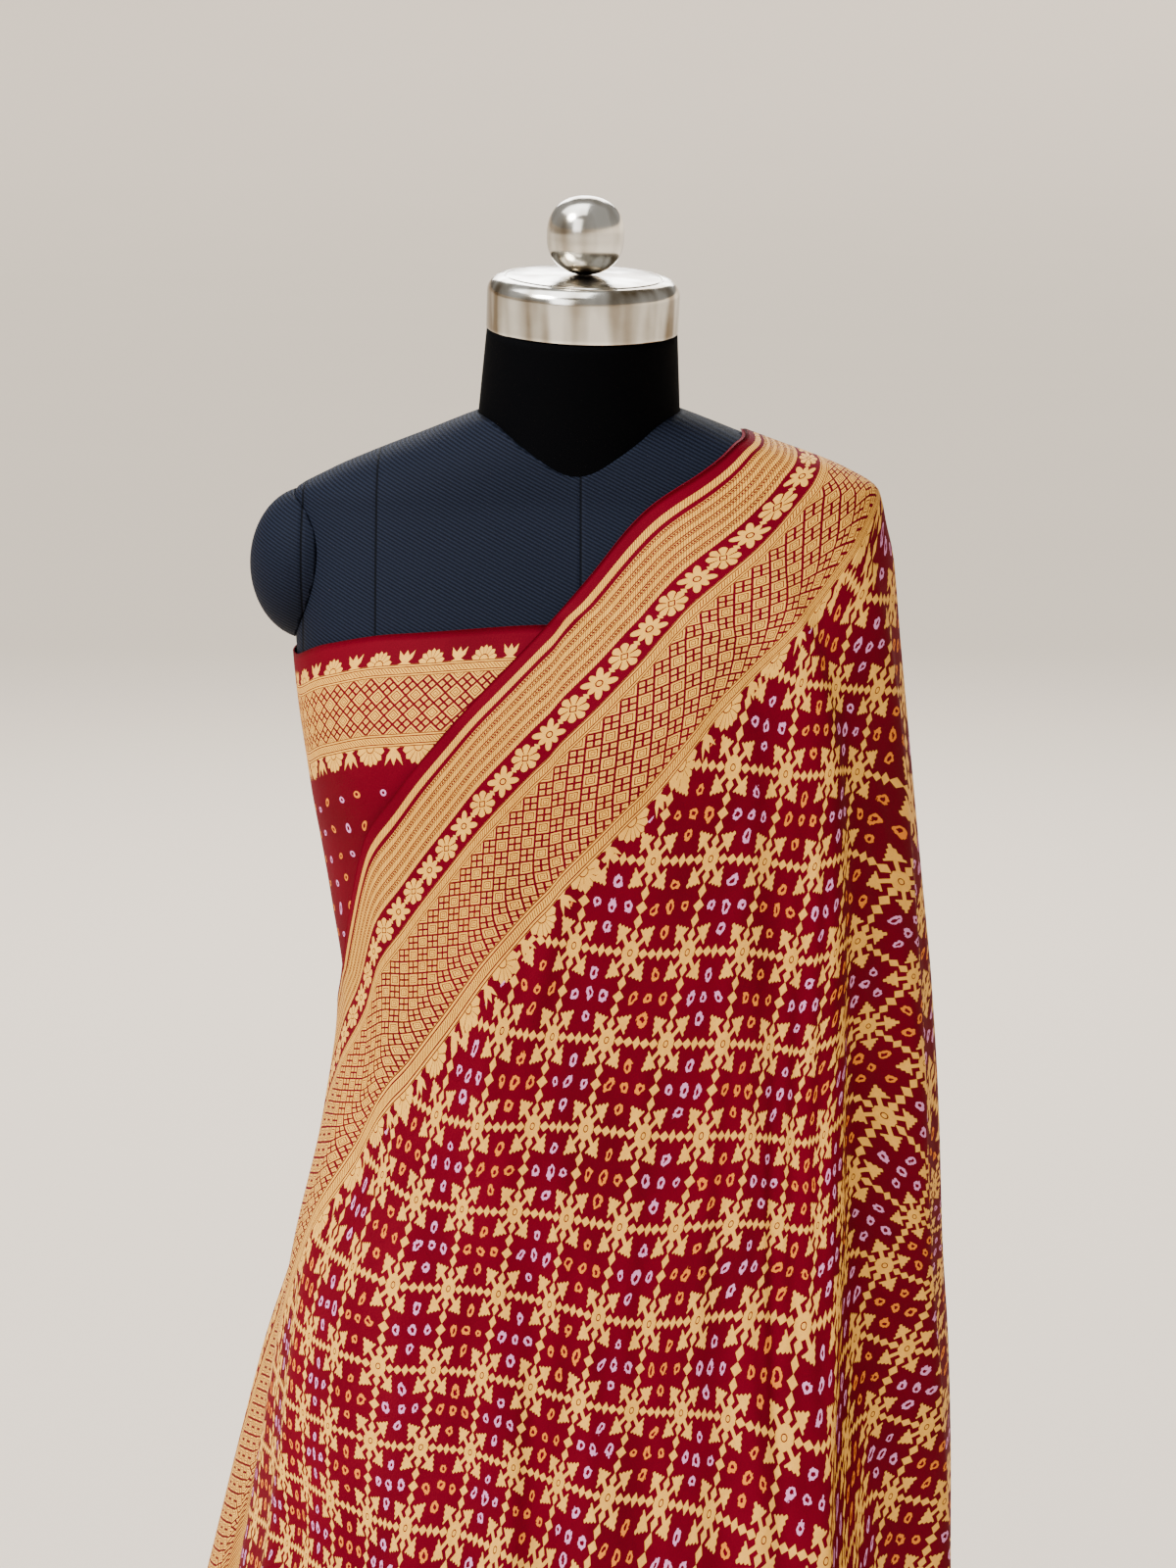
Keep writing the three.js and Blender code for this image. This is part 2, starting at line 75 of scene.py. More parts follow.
# The CAD solids' gap between pieces, and their cloth's thickness and clearance. Slopes are
# measured over a small step
GAP, CLOTH_THICKNESS, CLOTH_CLEARANCE, SLOPE_STEP = 0.3, 1.5, 1.6, 0.5

# The form, a row for each height: half width, depth to the front and to the back
FORM_SECTIONS = table("z side front back", [
    (620, 172, 112, 112), (700, 180, 118, 122), (780, 180, 118, 126), (840, 175, 113, 122),
    (900, 164, 104, 106), (960, 155, 98, 90), (1020, 154, 97, 82), (1080, 161, 104, 84),
    (1120, 167, 116, 89), (1150, 172, 126, 94), (1180, 176, 131, 99), (1210, 180, 129, 102),
    (1240, 183, 121, 104), (1255, 184, 115, 104.5), (1270, 185, 108, 104), (1300, 186, 95, 100),
    (1325, 186, 82, 92), (1345, 184, 71, 82), (1358, 163, 67, 74), (1371, 133, 62.5, 67),
    (1384, 99, 55, 62), (1396, 68, 47, 57), (1408, 30, 26, 34),
])
FORM_BOTTOM, FORM_TOP = 620, 1408
ROUNDNESS = 2.35

# The neck leans on its root in the torso, and carries the cap and the ball
NECK_SECTIONS = table("z r", [(0, 68), (59.95, 64), (109, 60.5)])
NECK_HEIGHT = 109
NECK_LEAN, NECK_ROOT = (5, 2), (-3, 3, 1340)
CAP_RADIUS, CAP_HEIGHT, CAP_CORNER, CAP_RISE = 61, 33.5, 10, 1.5
BALL_RADIUS, BALL_SQUARENESS, BALL_SEAT = 24.5, 2.3, 5
POLE_RADIUS, POLE_TOP = 15, 700

# The padded arm ends: middle, then reach, half depth and half height of the dome
ARM_ENDS = {
    "arm_end_left": (-175, 1299, 38, 51, 49),
    "arm_end_right": (175, 1294, 23, 43, 42),
}
# Of an arm end, what lies past this share of the way out to its middle is kept
PAD_KEPT_FROM = 0.792

# The inner wrap: how far it stands out on the four sides, and its top edge
WRAP_SECTIONS = table("z side front back", [
    (130, 226, 168, 178), (310, 215, 154, 164), (480, 203, 141, 150), (620, 193, 130, 139),
    (700, 187, 124, 133), (780, 182, 120, 128), (840, 176, 115, 123), (900, 165, 106, 108),
    (1020, 154, 97, 84), (1300, 150, 60, 60),
])
WRAP_TOP = table("phi z", [
    (-105, 1252), (-45, 1248), (-8, 1241), (12, 1243), (60, 1268), (100, 1276), (141, 1268),
    (156, 1258), (170, 1245), (190, 1243), (220, 1250), (285, 1252),
])
WRAP_START, WRAP_END, WRAP_BOTTOM = -105, 285, 130
WRAP_LIFT_FROM, WRAP_LIFT_TO, WRAP_LIFT = 228, 252, 2.6
WRAP_FOLD_COUNT, WRAP_FOLDS_BELOW, WRAP_HEM_SWELL = 11, 820, 5
WRAP_RAMP_ABOVE, WRAP_RAMP_SPAN = 8, 12
WRAP_COLUMNS, WRAP_ROWS, WRAP_CROWDING = 209, 122, 1.15
WRAP_MEASURED_ROW = 20
RIPPLE_SWELL, RIPPLE_TOP, RIPPLE_LOW, RIPPLE_FADE = 0.105, 1250, 900, 60

# The outer drape: its smooth standing surface on four sides
DRAPE_SECTIONS = table("z left right front back", [
    (30, 306, 262, 196, 196), (150, 296, 259, 190, 190), (300, 281, 256, 180, 181),
    (450, 259, 252, 168, 170), (604, 231, 248, 155, 157), (675, 219, 247, 148, 150),
    (760, 206, 244, 139, 141), (844, 191, 238, 133, 131), (934, 170, 234, 130, 117),
    (1021, 158.5, 228, 131, 107), (1100, 165, 220, 134, 104), (1170, 175, 213, 135, 106),
    (1250, 180, 205, 119, 109), (1289, 180, 201, 101, 104), (1317, 170, 196, 86, 94),
    (1345, 150, 190, 68, 82), (1358, 120, 171, 60, 74), (1396, 50, 60, 40, 50),
])
BLEND = 2

# The front selvedge, from the crest of the right shoulder down to the left waist, and
# where the same selvedge hangs behind
WAIST_PHI, WAIST_Z, SHOULDER_PHI, SHOULDER_Z = 180, 1000, -40, 1326
SELVEDGE = table("phi z", [
    (-40, 1326), (-30, 1362), (-20, 1377), (0, 1385), (19, 1381), (45, 1359), (70, 1332),
    (87, 1304), (100, 1278), (115, 1240), (128, 1197), (136, 1169), (144, 1143), (148, 1122),
    (154, 1086), (162, 1044), (180, 1000),
])
LEFT_EDGE = table("z phi", [
    (30, 215), (300, 214), (604, 212), (732, 210), (850, 205), (950, 194), (1000, 180),
])
RIGHT_EDGE = table("z phi", [
    (30, -63), (300, -61), (600, -58), (750, -55), (900, -52), (1100, -49), (1250, -46),
    (1326, -40),
])
HEM = table("phi z", [
    (-65, 288), (-30, 270), (0, 236), (20, 182), (40, 112), (60, 60), (90, 36), (140, 34),
    (215, 40),
])
FLARE = table("z out", [
    (30, 112), (300, 106), (450, 98), (604, 78), (732, 54), (850, 18), (950, 3), (1000, 0),
])
FLARE_FROM, FLARE_SPAN = 184, 30
HEM_LOOKED_UP_AT = 100

# The folds: azimuth and swell at each of these heights, then the half width in degrees of
# the flank to the left and to the right
FOLD_LEVELS = (40, 650, 900, 1250)
FOLD_FADE_TOP, FOLD_FADE_SPAN = 1350, 100
FOLDS = [
    ((174, 173, 173, 172), (16, 3, 0, 0), 6, 6),
    ((158, 157, 160, 160), (24, 9, 2, 0), 4, 5),
    ((144, 147, 150, 150), (22, 8, 0, 0), 4, 5),
    ((127, 128, 130, 130), (22, 4, 1, 0), 7, 7),
    ((106, 108, 113, 113), (26, 8, 3, 0), 8, 5),
    ((84, 84, 84, 84), (24, 6, 1, 0), 8, 8),
    ((65, 64, 62, 62), (24, 5, 1, 0), 6, 6),
    ((58, 53, 49, 50), (20, 8, 4, 1), 4, 3),
    ((45, 42, 35.5, 34), (28, 19, 15, 5), 7, 3),
    ((18, 17, 17.5, 16), (24, 14, 11, 4), 5, 3),
    ((-1, -1, 0, 1), (12, 4, 3, 0), 4, 5),
    ((-11, -12, -13, -14), (20, 11, 7, 3), 4, 4),
    ((-28, -28, -28, -28), (22, 12, 7, 2), 5, 4),
    ((-50, -47, -44, -42), (18, 9, 5, 1), 5, 5),
    ((196, 197, 200, 200), (14, 4, 0, 0), 5, 5),
]
LEAN_LEFT_FROM, LEAN_RIGHT_FROM = 110, 10

# The drape's columns crowd round the right ridge, and its rows at the top
DRAPE_COLUMNS, DRAPE_ROWS = 238, 206
RIDGE_PHI, RIDGE_SPAN = 34, 24
ROW_CROWDING, FINE_ROWS_ON_TOP = 1.6, 0.45
SHEET_INNER = 0.3
LOOK_UP_PHI, LOOK_UP_Z, LOOK_UP_STEP = (-70, 221), (1396, 20), 3.0

# Creases finer than the folds: where each lies, how it leans, how wide and how high it is
CREASES = table("phi z lean length width height", [
    (60, 1225, -0.16, 70, 3.0, 1.1), (74, 1190, -0.20, 80, 3.2, 1.0), (92, 1120, -0.13, 90, 3.0, 1.0),
    (104, 1010, -0.08, 110, 3.2, 1.2), (118, 930, -0.05, 120, 3.2, 1.3), (97, 840, -0.02, 130, 3.0, 1.3),
    (76, 900, -0.03, 140, 2.6, 1.2), (70, 720, 0.01, 130, 2.8, 1.4), (56, 980, -0.03, 170, 2.0, 1.6),
    (51, 760, 0.01, 150, 2.0, 1.8), (21, 1080, 0.03, 120, 1.6, 1.5), (23, 800, 0.02, 140, 1.6, 1.8),
    (7, 1010, 0.01, 120, 1.5, 1.4), (6, 820, 0.00, 120, 1.6, 1.6), (139, 960, 0.05, 100, 2.4, 0.9),
    (134, 790, 0.01, 120, 2.4, 1.4), (122, 700, 0.0, 110, 2.6, 1.3), (152, 760, 0.0, 110, 2.0, 1.2),
    (37.0, 960, -0.008, 190, 1.1, 1.6), (40.2, 950, -0.010, 200, 1.1, 2.2),
    (44.0, 890, -0.008, 200, 1.2, 2.4), (47.6, 850, -0.010, 180, 1.2, 1.6),
    (27.5, 980, -0.004, 200, 1.3, 1.2), (88, 760, 0.0, 120, 2.2, 1.4), (106, 720, 0.0, 120, 2.0, 1.5),
])

# Across the border the weave runs slower or faster than the height falls, and past it the
# cloth slips along and across at its own rates on the front, at the side and behind
BORDER_RATE = table("phi rate", [
    (-9, 1.52), (7, 1.44), (27, 1.30), (53, 1.076), (76, 0.877), (98, 0.838), (151, 0.867),
])
BORDER_WIDTH, CLOTH_WIDTH = 151.7, 1330
FRONT_RATE, SIDE_RATE, SIDE_RATE_LOW, SIDE_SLOWS_AT = 0.812, 1.07, 0.98, 900
BORDER_SLIP, FRONT_SLIP, SIDE_SLIP = 0.72, 0.363, 0.314
SIDE_FROM, SIDE_TO = 28, 42
LEFT_ZONE, BACK_FROM, BACK_TO = 150, -3, -9

# Where flowers of the gold lattice lie on the drape, by the count of their line across the
# cloth: azimuth, height and the count of their line down it
FLOWER_LINES = {
    -4: [(20.9, 1286, 2), (8.3, 1278, 3)],
    -3: [(38, 1239, 1), (28.5, 1234, 2), (22.8, 1228, 3)],
    -2: [(53.2, 1189, 0), (42.3, 1187, 1), (36.2, 1183, 2), (6.2, 1124, 4)],
    -1: [(71.8, 1134, -1), (58.1, 1133, 0), (46.4, 1130, 1), (39.2, 1127, 2), (20, 1110, 4),
        (10.3, 1068, 5)],
    0: [(62.8, 1074, 0), (41.8, 1069, 2), (36.9, 1069, 3), (27.4, 1065, 4), (18.7, 1049, 5),
        (10.8, 1012, 6)],
    1: [(111.5, 1019, -3), (97.7, 1021, -2), (82.6, 1019, -1), (68.1, 1016, 0), (55, 1012, 1),
        (44.6, 1010, 2), (39.3, 1011, 3), (35.7, 1015, 4), (24.4, 1006, 5), (18.3, 992, 6),
        (6.4, 909, 8)],
    2: [(129.6, 959, -4), (102.3, 963, -2), (73.7, 956, 0), (48.8, 951, 2), (41.5, 951, 3),
        (38, 954, 4), (35.6, 958, 5), (22.2, 946, 6)],
    3: [(133.5, 905, -4), (120.6, 904, -3), (107.5, 906, -2), (94, 901, -1), (79.2, 895, 0),
        (65.2, 896, 1), (52.9, 894, 2), (43.3, 892, 3), (39.1, 897, 4), (36.2, 901, 5),
        (27.7, 911, 6), (20, 888, 7)],
    4: [(148.8, 848, -5), (136.2, 850, -4), (111.2, 852, -2), (85, 837, 0), (42, 838, 4),
        (24.7, 852, 7)],
    5: [(156.7, 802, -6), (148.4, 796, -5), (138.9, 796, -4), (127, 794, -3), (113.8, 801, -2),
        (103.7, 790, -1), (90.5, 781, 0), (76.1, 776, 1), (22.9, 793, 8)],
    6: [(154.3, 753, -6), (147.5, 746, -5), (139.1, 746, -4), (116.5, 748, -2), (96.2, 726, 0),
        (69.3, 722, 2), (27.7, 763, 8), (20.8, 735, 9)],
    7: [(165.5, 706, -8), (150.9, 708, -6), (139.6, 696, -4), (129.7, 691, -3), (118.2, 696, -2),
        (109.5, 691, -1), (25.4, 704, 9), (18.9, 684, 10)],
    8: [(157, 672, -8), (147.4, 660, -6)],
}
FLOWERS = table("phi z down over", [
    (*flower, over) for over, line in FLOWER_LINES.items() for flower in line
])
LATTICE_PITCH, LATTICE_ALONG, LATTICE_ACROSS = 69.44, 302.9, 252.85
FIELD_FROM, DOTS_FROM = 155, 160
WRAP_DOT_PITCH, WRAP_DOTS_FROM = (17.5, 17.0), 90

# The flowers guide the weave within this stretch, each as far as this reach, from a little
# inside the border
GUIDED_PHI, GUIDED_Z = (4, 196), (640, 1330)
GUIDE_REACH, GUIDE_SOFTNESS = 70, 0.3
GUIDED_FROM, GUIDED_SPAN = 120, 60

# In metres: the form cover's seams and ribs, the floor's radius and rise, and the camera's
# place, with its turn in degrees
SIDE_SEAM, ARM_SEAM, SEAM_GROOVE, SEAM_LINE = 0.128, 0.1765, 0.0022, 0.0007
RIB_PITCH = 0.0021
FLOOR_RISE = [
    (0.001, 0), (3, 0), (8, 0), (16, 0), (24, 0.1), (28, 0.5), (31, 1.4), (33, 2.8), (34, 4.6),
    (34.3, 7),
]
CAMERA_PLACE, CAMERA_TURN = (0.00448, -2.2497, 1.6312), (78, 0, 0)

# The lights: kind, name, setting of its strength, place in metres, turn in degrees and shape
LIGHTS = [
    ("SUN", "window light", "sun_strength", (0, 0, 5), (47, 0, -55), {"angle": math.radians(22)}),
    ("AREA", "front light", "key_power", (-1.3, -2.9, 2.7), (60, 0, -24),
     {"shape": "RECTANGLE", "size": 1.5, "size_y": 2.2}),
    ("AREA", "high back light", "back_power", (0, 5.4, 3.9), (-65, 0, 0),
     {"shape": "RECTANGLE", "size": 3.6, "size_y": 2.4}),
    ("AREA", "overhead light", "over_power", (-0.9, -0.5, 3.7), (-9, -14, 0),
     {"shape": "SQUARE", "size": 2.4}),
]


def clamp01(value):
    return np.clip(value, 0, 1)


def ease(value):
    held = clamp01(value)
    return held * held * (3 - 2 * held)


def curve_at(rows, name, value):
    """A smooth curve through a table's rows, by its first column, that never swings past them."""
    x, y = rows[next(iter(rows))], rows[name]
    step = np.diff(x)
    secant = np.diff(y) / step
    before, after = secant[:-1], secant[1:]
    total = np.where(before + after == 0, 1, before + after)
    slope = np.concatenate([
        secant[:1], np.where(before * after <= 0, 0, 2 * before * after / total), secant[-1:],
    ])
    held = np.clip(np.asarray(value, float), x[0], x[-1])
    i = np.clip(np.searchsorted(x, held, side="right") - 1, 0, len(step) - 1)
    t = (held - x[i]) / step[i]
    bend = t * (1 - t) * ((1 - t) * slope[i] - t * slope[i + 1])
    return y[i] + t * t * (3 - 2 * t) * (y[i + 1] - y[i]) + step[i] * bend


def sides_at(rows, names, z):
    return (curve_at(rows, name, z) for name in names.split())


def section_radius(phi, right, left, front, back):
    """Radius of a rounded section with its own reach on each of four sides."""
    c, s = np.cos(np.radians(phi)), np.sin(np.radians(phi))
    across = np.abs(c) / np.where(c > 0, right, left)
    deep = np.abs(s) / np.where(s > 0, front, back)
    return (across ** ROUNDNESS + deep ** ROUNDNESS) ** (-1 / ROUNDNESS)


def form_radius(phi, z):
    side, front, back = sides_at(FORM_SECTIONS, "side front back", z)
    return section_radius(phi, side, side, front, back)


def arm_end_radius(end, phi, z):
    """Radius at which a level line leaves an arm end, or 0 where it misses."""
    x, height, reach, depth, half = end
    c, s = np.cos(np.radians(phi)) / reach, np.sin(np.radians(phi)) / depth
    a, b = c * c + s * s, c * x / reach
    root = b * b - a * ((x / reach) ** 2 + ((z - height) / half) ** 2 - 1)
    return np.where((root < 0) | (b < 0), 0, (b + np.sqrt(np.maximum(root, 0))) / a)


def slant(radius_at, phi, z):
    """How much further out a level gap must be for its true width across the wall."""
    step = SLOPE_STEP
    rise = (radius_at(phi, z + step) - radius_at(phi, z - step)) / (2 * step)
    turn = (radius_at(phi + step, z) - radius_at(phi - step, z)) / (2 * math.radians(step))
    return np.sqrt(1 + rise ** 2 + (turn / radius_at(phi, z)) ** 2)


def on_top_of(radius_at, phi, z):
    """Where cloth lies over the form's own slope, or 0 below the form."""
    return np.where(z > FORM_BOTTOM, radius_at(phi, z) + CLOTH_CLEARANCE * slant(form_radius, phi, z), 0)


def wrap_top(phi):
    return curve_at(WRAP_TOP, "z", phi)


def wrap_radius(phi, z):
    side, front, back = sides_at(WRAP_SECTIONS, "side front back", z)
    hanging = section_radius(phi, side, side, front, back)
    drop = clamp01((WRAP_FOLDS_BELOW - z) / WRAP_FOLDS_BELOW)
    folds = WRAP_HEM_SWELL * drop * (1 + np.sin(np.radians(phi) * WRAP_FOLD_COUNT))
    lift = WRAP_LIFT * ease((phi - WRAP_LIFT_FROM) / (WRAP_LIFT_TO - WRAP_LIFT_FROM))
    return np.maximum(on_top_of(form_radius, phi, z), hanging) + folds + lift


def support_radius(phi, z):
    """What the drape lies on: the form, its right arm end and the inner wrap."""
    on_form = np.maximum(form_radius(phi, z), arm_end_radius(ARM_ENDS["arm_end_right"], phi, z))
    wrap_outer = wrap_radius(phi, np.minimum(z, wrap_top(phi))) + CLOTH_THICKNESS
    share = ease((wrap_top(phi) + WRAP_RAMP_ABOVE - z) / WRAP_RAMP_SPAN + 0.5)
    return np.maximum(on_form, on_form + (wrap_outer - on_form) * share)


def fold_swell(phi, z):
    swell = 0
    for where, heights, left, right in FOLDS:
        row = table("z phi swell", zip(FOLD_LEVELS, where, heights))
        away = phi - curve_at(row, "phi", z)
        width = np.where(away > 0, left, right)
        swell = swell + curve_at(row, "swell", z) * np.exp(-((away / width) ** 2))
    return swell * ease((FOLD_FADE_TOP - z) / FOLD_FADE_SPAN)


def drape_radius(phi, z):
    hanging = section_radius(phi, *sides_at(DRAPE_SECTIONS, "right left front back", z))
    free = hanging + curve_at(FLARE, "out", z) * ease((phi - FLARE_FROM) / FLARE_SPAN)
    on_body = on_top_of(support_radius, phi, z)
    return (free + on_body + np.hypot(free - on_body, BLEND)) / 2 + fold_swell(phi, z)


def crease_swell(phi, z):
    """Small creases that stand out from the folds of the drape."""
    swell = 0
    for middle, level, lean, length, width, height in zip(*CREASES.values()):
        along = (z - level) / length
        away = (phi - middle - lean * (z - level)) / width
        swell = swell + height * np.exp(-away ** 2 - along ** 4)
    return swell


def places(phi, z, r):
    """Points in millimetres at azimuth, height and radius."""
    x = r * np.cos(np.radians(phi))
    return np.stack([x, -r * np.sin(np.radians(phi)), z + 0 * x], -1)


def on_drape(phi, z):
    return places(phi, z, drape_radius(phi, z))


def run_along(points, axis):
    """Length along an axis of a grid of points, from 0 at its first."""
    steps = np.linalg.norm(np.diff(points, axis=axis), axis=-1)
    return np.insert(np.cumsum(steps, axis), 0, 0, axis)


def column_phi(start, z):
    """Azimuth at a height of the drape's column that starts on the selvedge at start."""
    lean_left = ease((start - LEAN_LEFT_FROM) / (WAIST_PHI - LEAN_LEFT_FROM))
    lean_right = ease((LEAN_RIGHT_FROM - start) / (LEAN_RIGHT_FROM - SHOULDER_PHI))
    to_left = curve_at(LEFT_EDGE, "phi", z) - WAIST_PHI
    to_right = curve_at(RIGHT_EDGE, "phi", z) - SHOULDER_PHI
    return start + lean_left * to_left + lean_right * to_right


def drape_grid():
    """Azimuths and heights of the drape's points, columns from the shoulder to the waist."""
    dense = np.linspace(SHOULDER_PHI, WAIST_PHI, 1201)
    weight = 1 + np.exp(-((dense - RIDGE_PHI) / RIDGE_SPAN) ** 2)
    run = np.insert(np.cumsum((weight[1:] + weight[:-1]) / 2), 0, 0)
    starts = np.interp(np.linspace(0, run[-1], DRAPE_COLUMNS), run, dense)[:, None]
    top = curve_at(SELVEDGE, "z", starts)
    bottom = curve_at(HEM, "z", column_phi(starts, HEM_LOOKED_UP_AT))
    z = top + (bottom - top) * np.linspace(0, 1, 481) ** ROW_CROWDING
    length = run_along(on_drape(column_phi(starts, z), z), 1)
    share = np.linspace(0, 1, DRAPE_ROWS)
    wanted = share * (1 - FINE_ROWS_ON_TOP + FINE_ROWS_ON_TOP * share)
    heights = np.array([np.interp(wanted * run[-1], run, down) for run, down in zip(length, z)])
    return column_phi(starts, heights), heights


class ClothLengths:
    """Lengths measured on the drape's surface, looked up by azimuth and height."""

    def __init__(self):
        self.phi = np.arange(*LOOK_UP_PHI, 1.0)
        self.z = np.arange(*LOOK_UP_Z, -LOOK_UP_STEP)
        spots = on_drape(*np.meshgrid(self.phi, self.z, indexing="ij"))
        self.down, self.level = run_along(spots, 1), run_along(spots, 0)

    def look_up(self, grid, phi, z):
        inside = 1.001
        a = np.clip(phi - self.phi[0], 0, len(self.phi) - inside)
        b = np.clip((self.z[0] - z) / LOOK_UP_STEP, 0, len(self.z) - inside)
        i, j = a.astype(int), b.astype(int)
        a, b = a - i, b - j
        return ((grid[i, j] * (1 - a) + grid[i + 1, j] * a) * (1 - b)
                + (grid[i, j + 1] * (1 - a) + grid[i + 1, j + 1] * a) * b)

    def between(self, grid, phi, z, phi_from, z_from):
        """Length from one point of the surface to another, by one of the two grids."""
        return self.look_up(grid, phi, z) - self.look_up(grid, phi_from, z_from)


def selvedge_lengths():
    """Length along the selvedge from the left waist: up the front, and down its hanging part."""
    phi = np.linspace(WAIST_PHI, SHOULDER_PHI, 441)
    up = run_along(on_drape(phi, curve_at(SELVEDGE, "z", phi)), 0)
    z = np.linspace(WAIST_Z, LEFT_EDGE["z"][0], 300)
    down = -run_along(on_drape(curve_at(LEFT_EDGE, "phi", z), z), 0)
    return (phi[::-1], up[::-1]), (z[::-1], down[::-1])


def edge_phi(z, left):
    """Azimuth of the drape's edge at a height, on the left or on the right of its crest."""
    side = SELVEDGE["phi"] >= 0 if left else SELVEDGE["phi"] <= 0
    order = np.argsort(SELVEDGE["z"][side])
    upper = np.interp(z, SELVEDGE["z"][side][order], SELVEDGE["phi"][side][order])
    hanging, hangs_from = (LEFT_EDGE, WAIST_Z) if left else (RIGHT_EDGE, SHOULDER_Z)
    return np.where(z > hangs_from, upper, curve_at(hanging, "phi", z))


def lattice_shift(phi, z, lay, lengths):
    """How far the cloth has slipped along and across, so that each flower lies in its place."""

    def spots(phi, z):
        phi, z = np.clip(phi, *GUIDED_PHI), np.clip(z, *GUIDED_Z)
        return np.stack([lengths.between(lengths.level, phi, z, 90 + 0 * phi, z), z], -1)

    def plane(spot):
        return np.concatenate([spot, np.ones(spot.shape[:-1] + (1,))], -1)

    def nearness(spot):
        away = spot[..., None, :] - known
        return np.exp(-(away ** 2).sum(-1) / GUIDE_REACH ** 2)

    known = spots(FLOWERS["phi"], FLOWERS["z"])
    along, across = lay(FLOWERS["phi"], FLOWERS["z"])
    half = LATTICE_PITCH / 2
    want = np.stack([
        (FLOWERS["down"] - FLOWERS["over"]) * half + LATTICE_ALONG - along,
        (FLOWERS["down"] + FLOWERS["over"]) * half + LATTICE_ACROSS - across,
    ], -1)
    slope = np.linalg.lstsq(plane(known), want, rcond=None)[0]
    held = nearness(known) + GUIDE_SOFTNESS * np.eye(len(known))
    weight = np.linalg.solve(held, want - plane(known) @ slope)
    spot = spots(phi, z)
    shift = plane(spot) @ slope + nearness(spot) @ weight
    return shift[..., 0], shift[..., 1]


def cloth_cut(phi, z):
    """Where a point of the drape lies in the flat cloth: along and across its selvedge."""
    lengths = ClothLengths()
    up, down = selvedge_lengths()

    def front(phi, z):
        run = lengths.between(lengths.down, phi, z, phi, curve_at(SELVEDGE, "z", phi))
        rate = curve_at(BORDER_RATE, "rate", phi)
        border = BORDER_WIDTH / rate
        side = 1 - ease((phi - SIDE_FROM) / (SIDE_TO - SIDE_FROM))
        beyond = np.maximum(run - border, 0)
        across = rate * np.minimum(run, border) + beyond * (FRONT_RATE + side * (SIDE_RATE - FRONT_RATE))
        slowed = (across - SIDE_SLOWS_AT) * SIDE_RATE_LOW / SIDE_RATE + SIDE_SLOWS_AT
        across = np.where(across > SIDE_SLOWS_AT, across + side * (slowed - across), across)
        slip = FRONT_SLIP + side * (SIDE_SLIP - FRONT_SLIP)
        along = np.interp(phi, *up) - BORDER_SLIP * np.minimum(run, border) - slip * beyond
        return along, across

    def before(phi, z):
        along, across = front(np.clip(phi, BACK_TO, LEFT_ZONE), z)
        edge = edge_phi(z, left=True)
        share = clamp01((edge - phi) / np.maximum(edge - LEFT_ZONE, 0.5))
        edge_along = np.where(z > WAIST_Z, np.interp(edge, *up), np.interp(z, *down))
        on_left = phi > LEFT_ZONE
        across = np.where(on_left, across * share, across)
        return np.where(on_left, edge_along + (along - edge_along) * share, along), across

    along, across = before(phi, z)
    shift_along, shift_across = lattice_shift(phi, z, before, lengths)
    inner = ease((across - GUIDED_FROM) / GUIDED_SPAN)
    along, across = along + inner * shift_along, across + inner * shift_across

    back_across = lengths.between(lengths.level, phi, z, edge_phi(z, left=False), z)
    back_along = up[1][0] + SHOULDER_Z - z
    turn = ease((BACK_FROM - phi) / (BACK_FROM - BACK_TO))
    along = along + turn * (back_along - along)
    across = across + turn * (np.maximum(back_across, 0) - across)
    return along, np.maximum(across, 0)


class Term:
    """An output in a node tree, with arithmetic that adds Math nodes."""

    def __init__(self, tree, socket):
        self.tree, self.socket = tree, socket

    def __add__(self, other):
        return math_node("ADD", self, other)

    def __sub__(self, other):
        return math_node("SUBTRACT", self, other)

    def __mul__(self, other):
        return math_node("MULTIPLY", self, other)

    def __rsub__(self, other):
        return math_node("SUBTRACT", other, self)

    def __abs__(self):
        return math_node("ABSOLUTE", self)

    __radd__, __rmul__ = __add__, __mul__


def feed(tree, value, socket):
    """Links a term to a socket, or sets the socket to a fixed value."""
    if isinstance(value, Term):
        tree.links.new(value.socket, socket)
    else:
        socket.default_value = value


def add_node(tree, kind, output, **inputs):
    """The output of a new node whose named inputs are fed."""
    node = tree.nodes.new(kind)
    for name, value in inputs.items():
        feed(tree, value, node.inputs[name])
    return Term(tree, node.outputs[output])


def math_node(operation, *values):
    tree = next(value.tree for value in values if isinstance(value, Term))
    node = tree.nodes.new("ShaderNodeMath")
    node.operation = operation
    for socket, value in zip(node.inputs, values):
        feed(tree, value, socket)
    return Term(tree, node.outputs[0])


def below(value, limit):
    return math_node("LESS_THAN", value, limit)


def between(value, low, high):
    return math_node("COMPARE", value, (low + high) / 2, (high - low) / 2)


def fract(value):
    return math_node("FRACT", value)


def fold(value, period):
    """Distance from the nearest whole multiple of a period."""
    return math_node("PINGPONG", value, period / 2)


def past_middle(value, pitch):
    """Distance past the middle of each repeat of a pitch."""
    return (fract(value * (1 / pitch)) - 0.5) * pitch


def either(*masks):
    return reduce(lambda a, b: math_node("MAXIMUM", a, b), masks)


def least(*values):
    return reduce(lambda a, b: math_node("MINIMUM", a, b), values)


def length_of(a, b):
    return math_node("SQRT", a * a + b * b)


def diamond(a, b, half_a, half_b):
    """Inside a diamond with these half diagonals."""
    return below(abs(a) * (1 / half_a) + abs(b) * (1 / half_b), 1)


def hatch(s, t, period, share):
    """Slanting dark gaps between the bundles of a gold weave."""
    return 1 - below(fract((s + t) * (1 / period)), share)


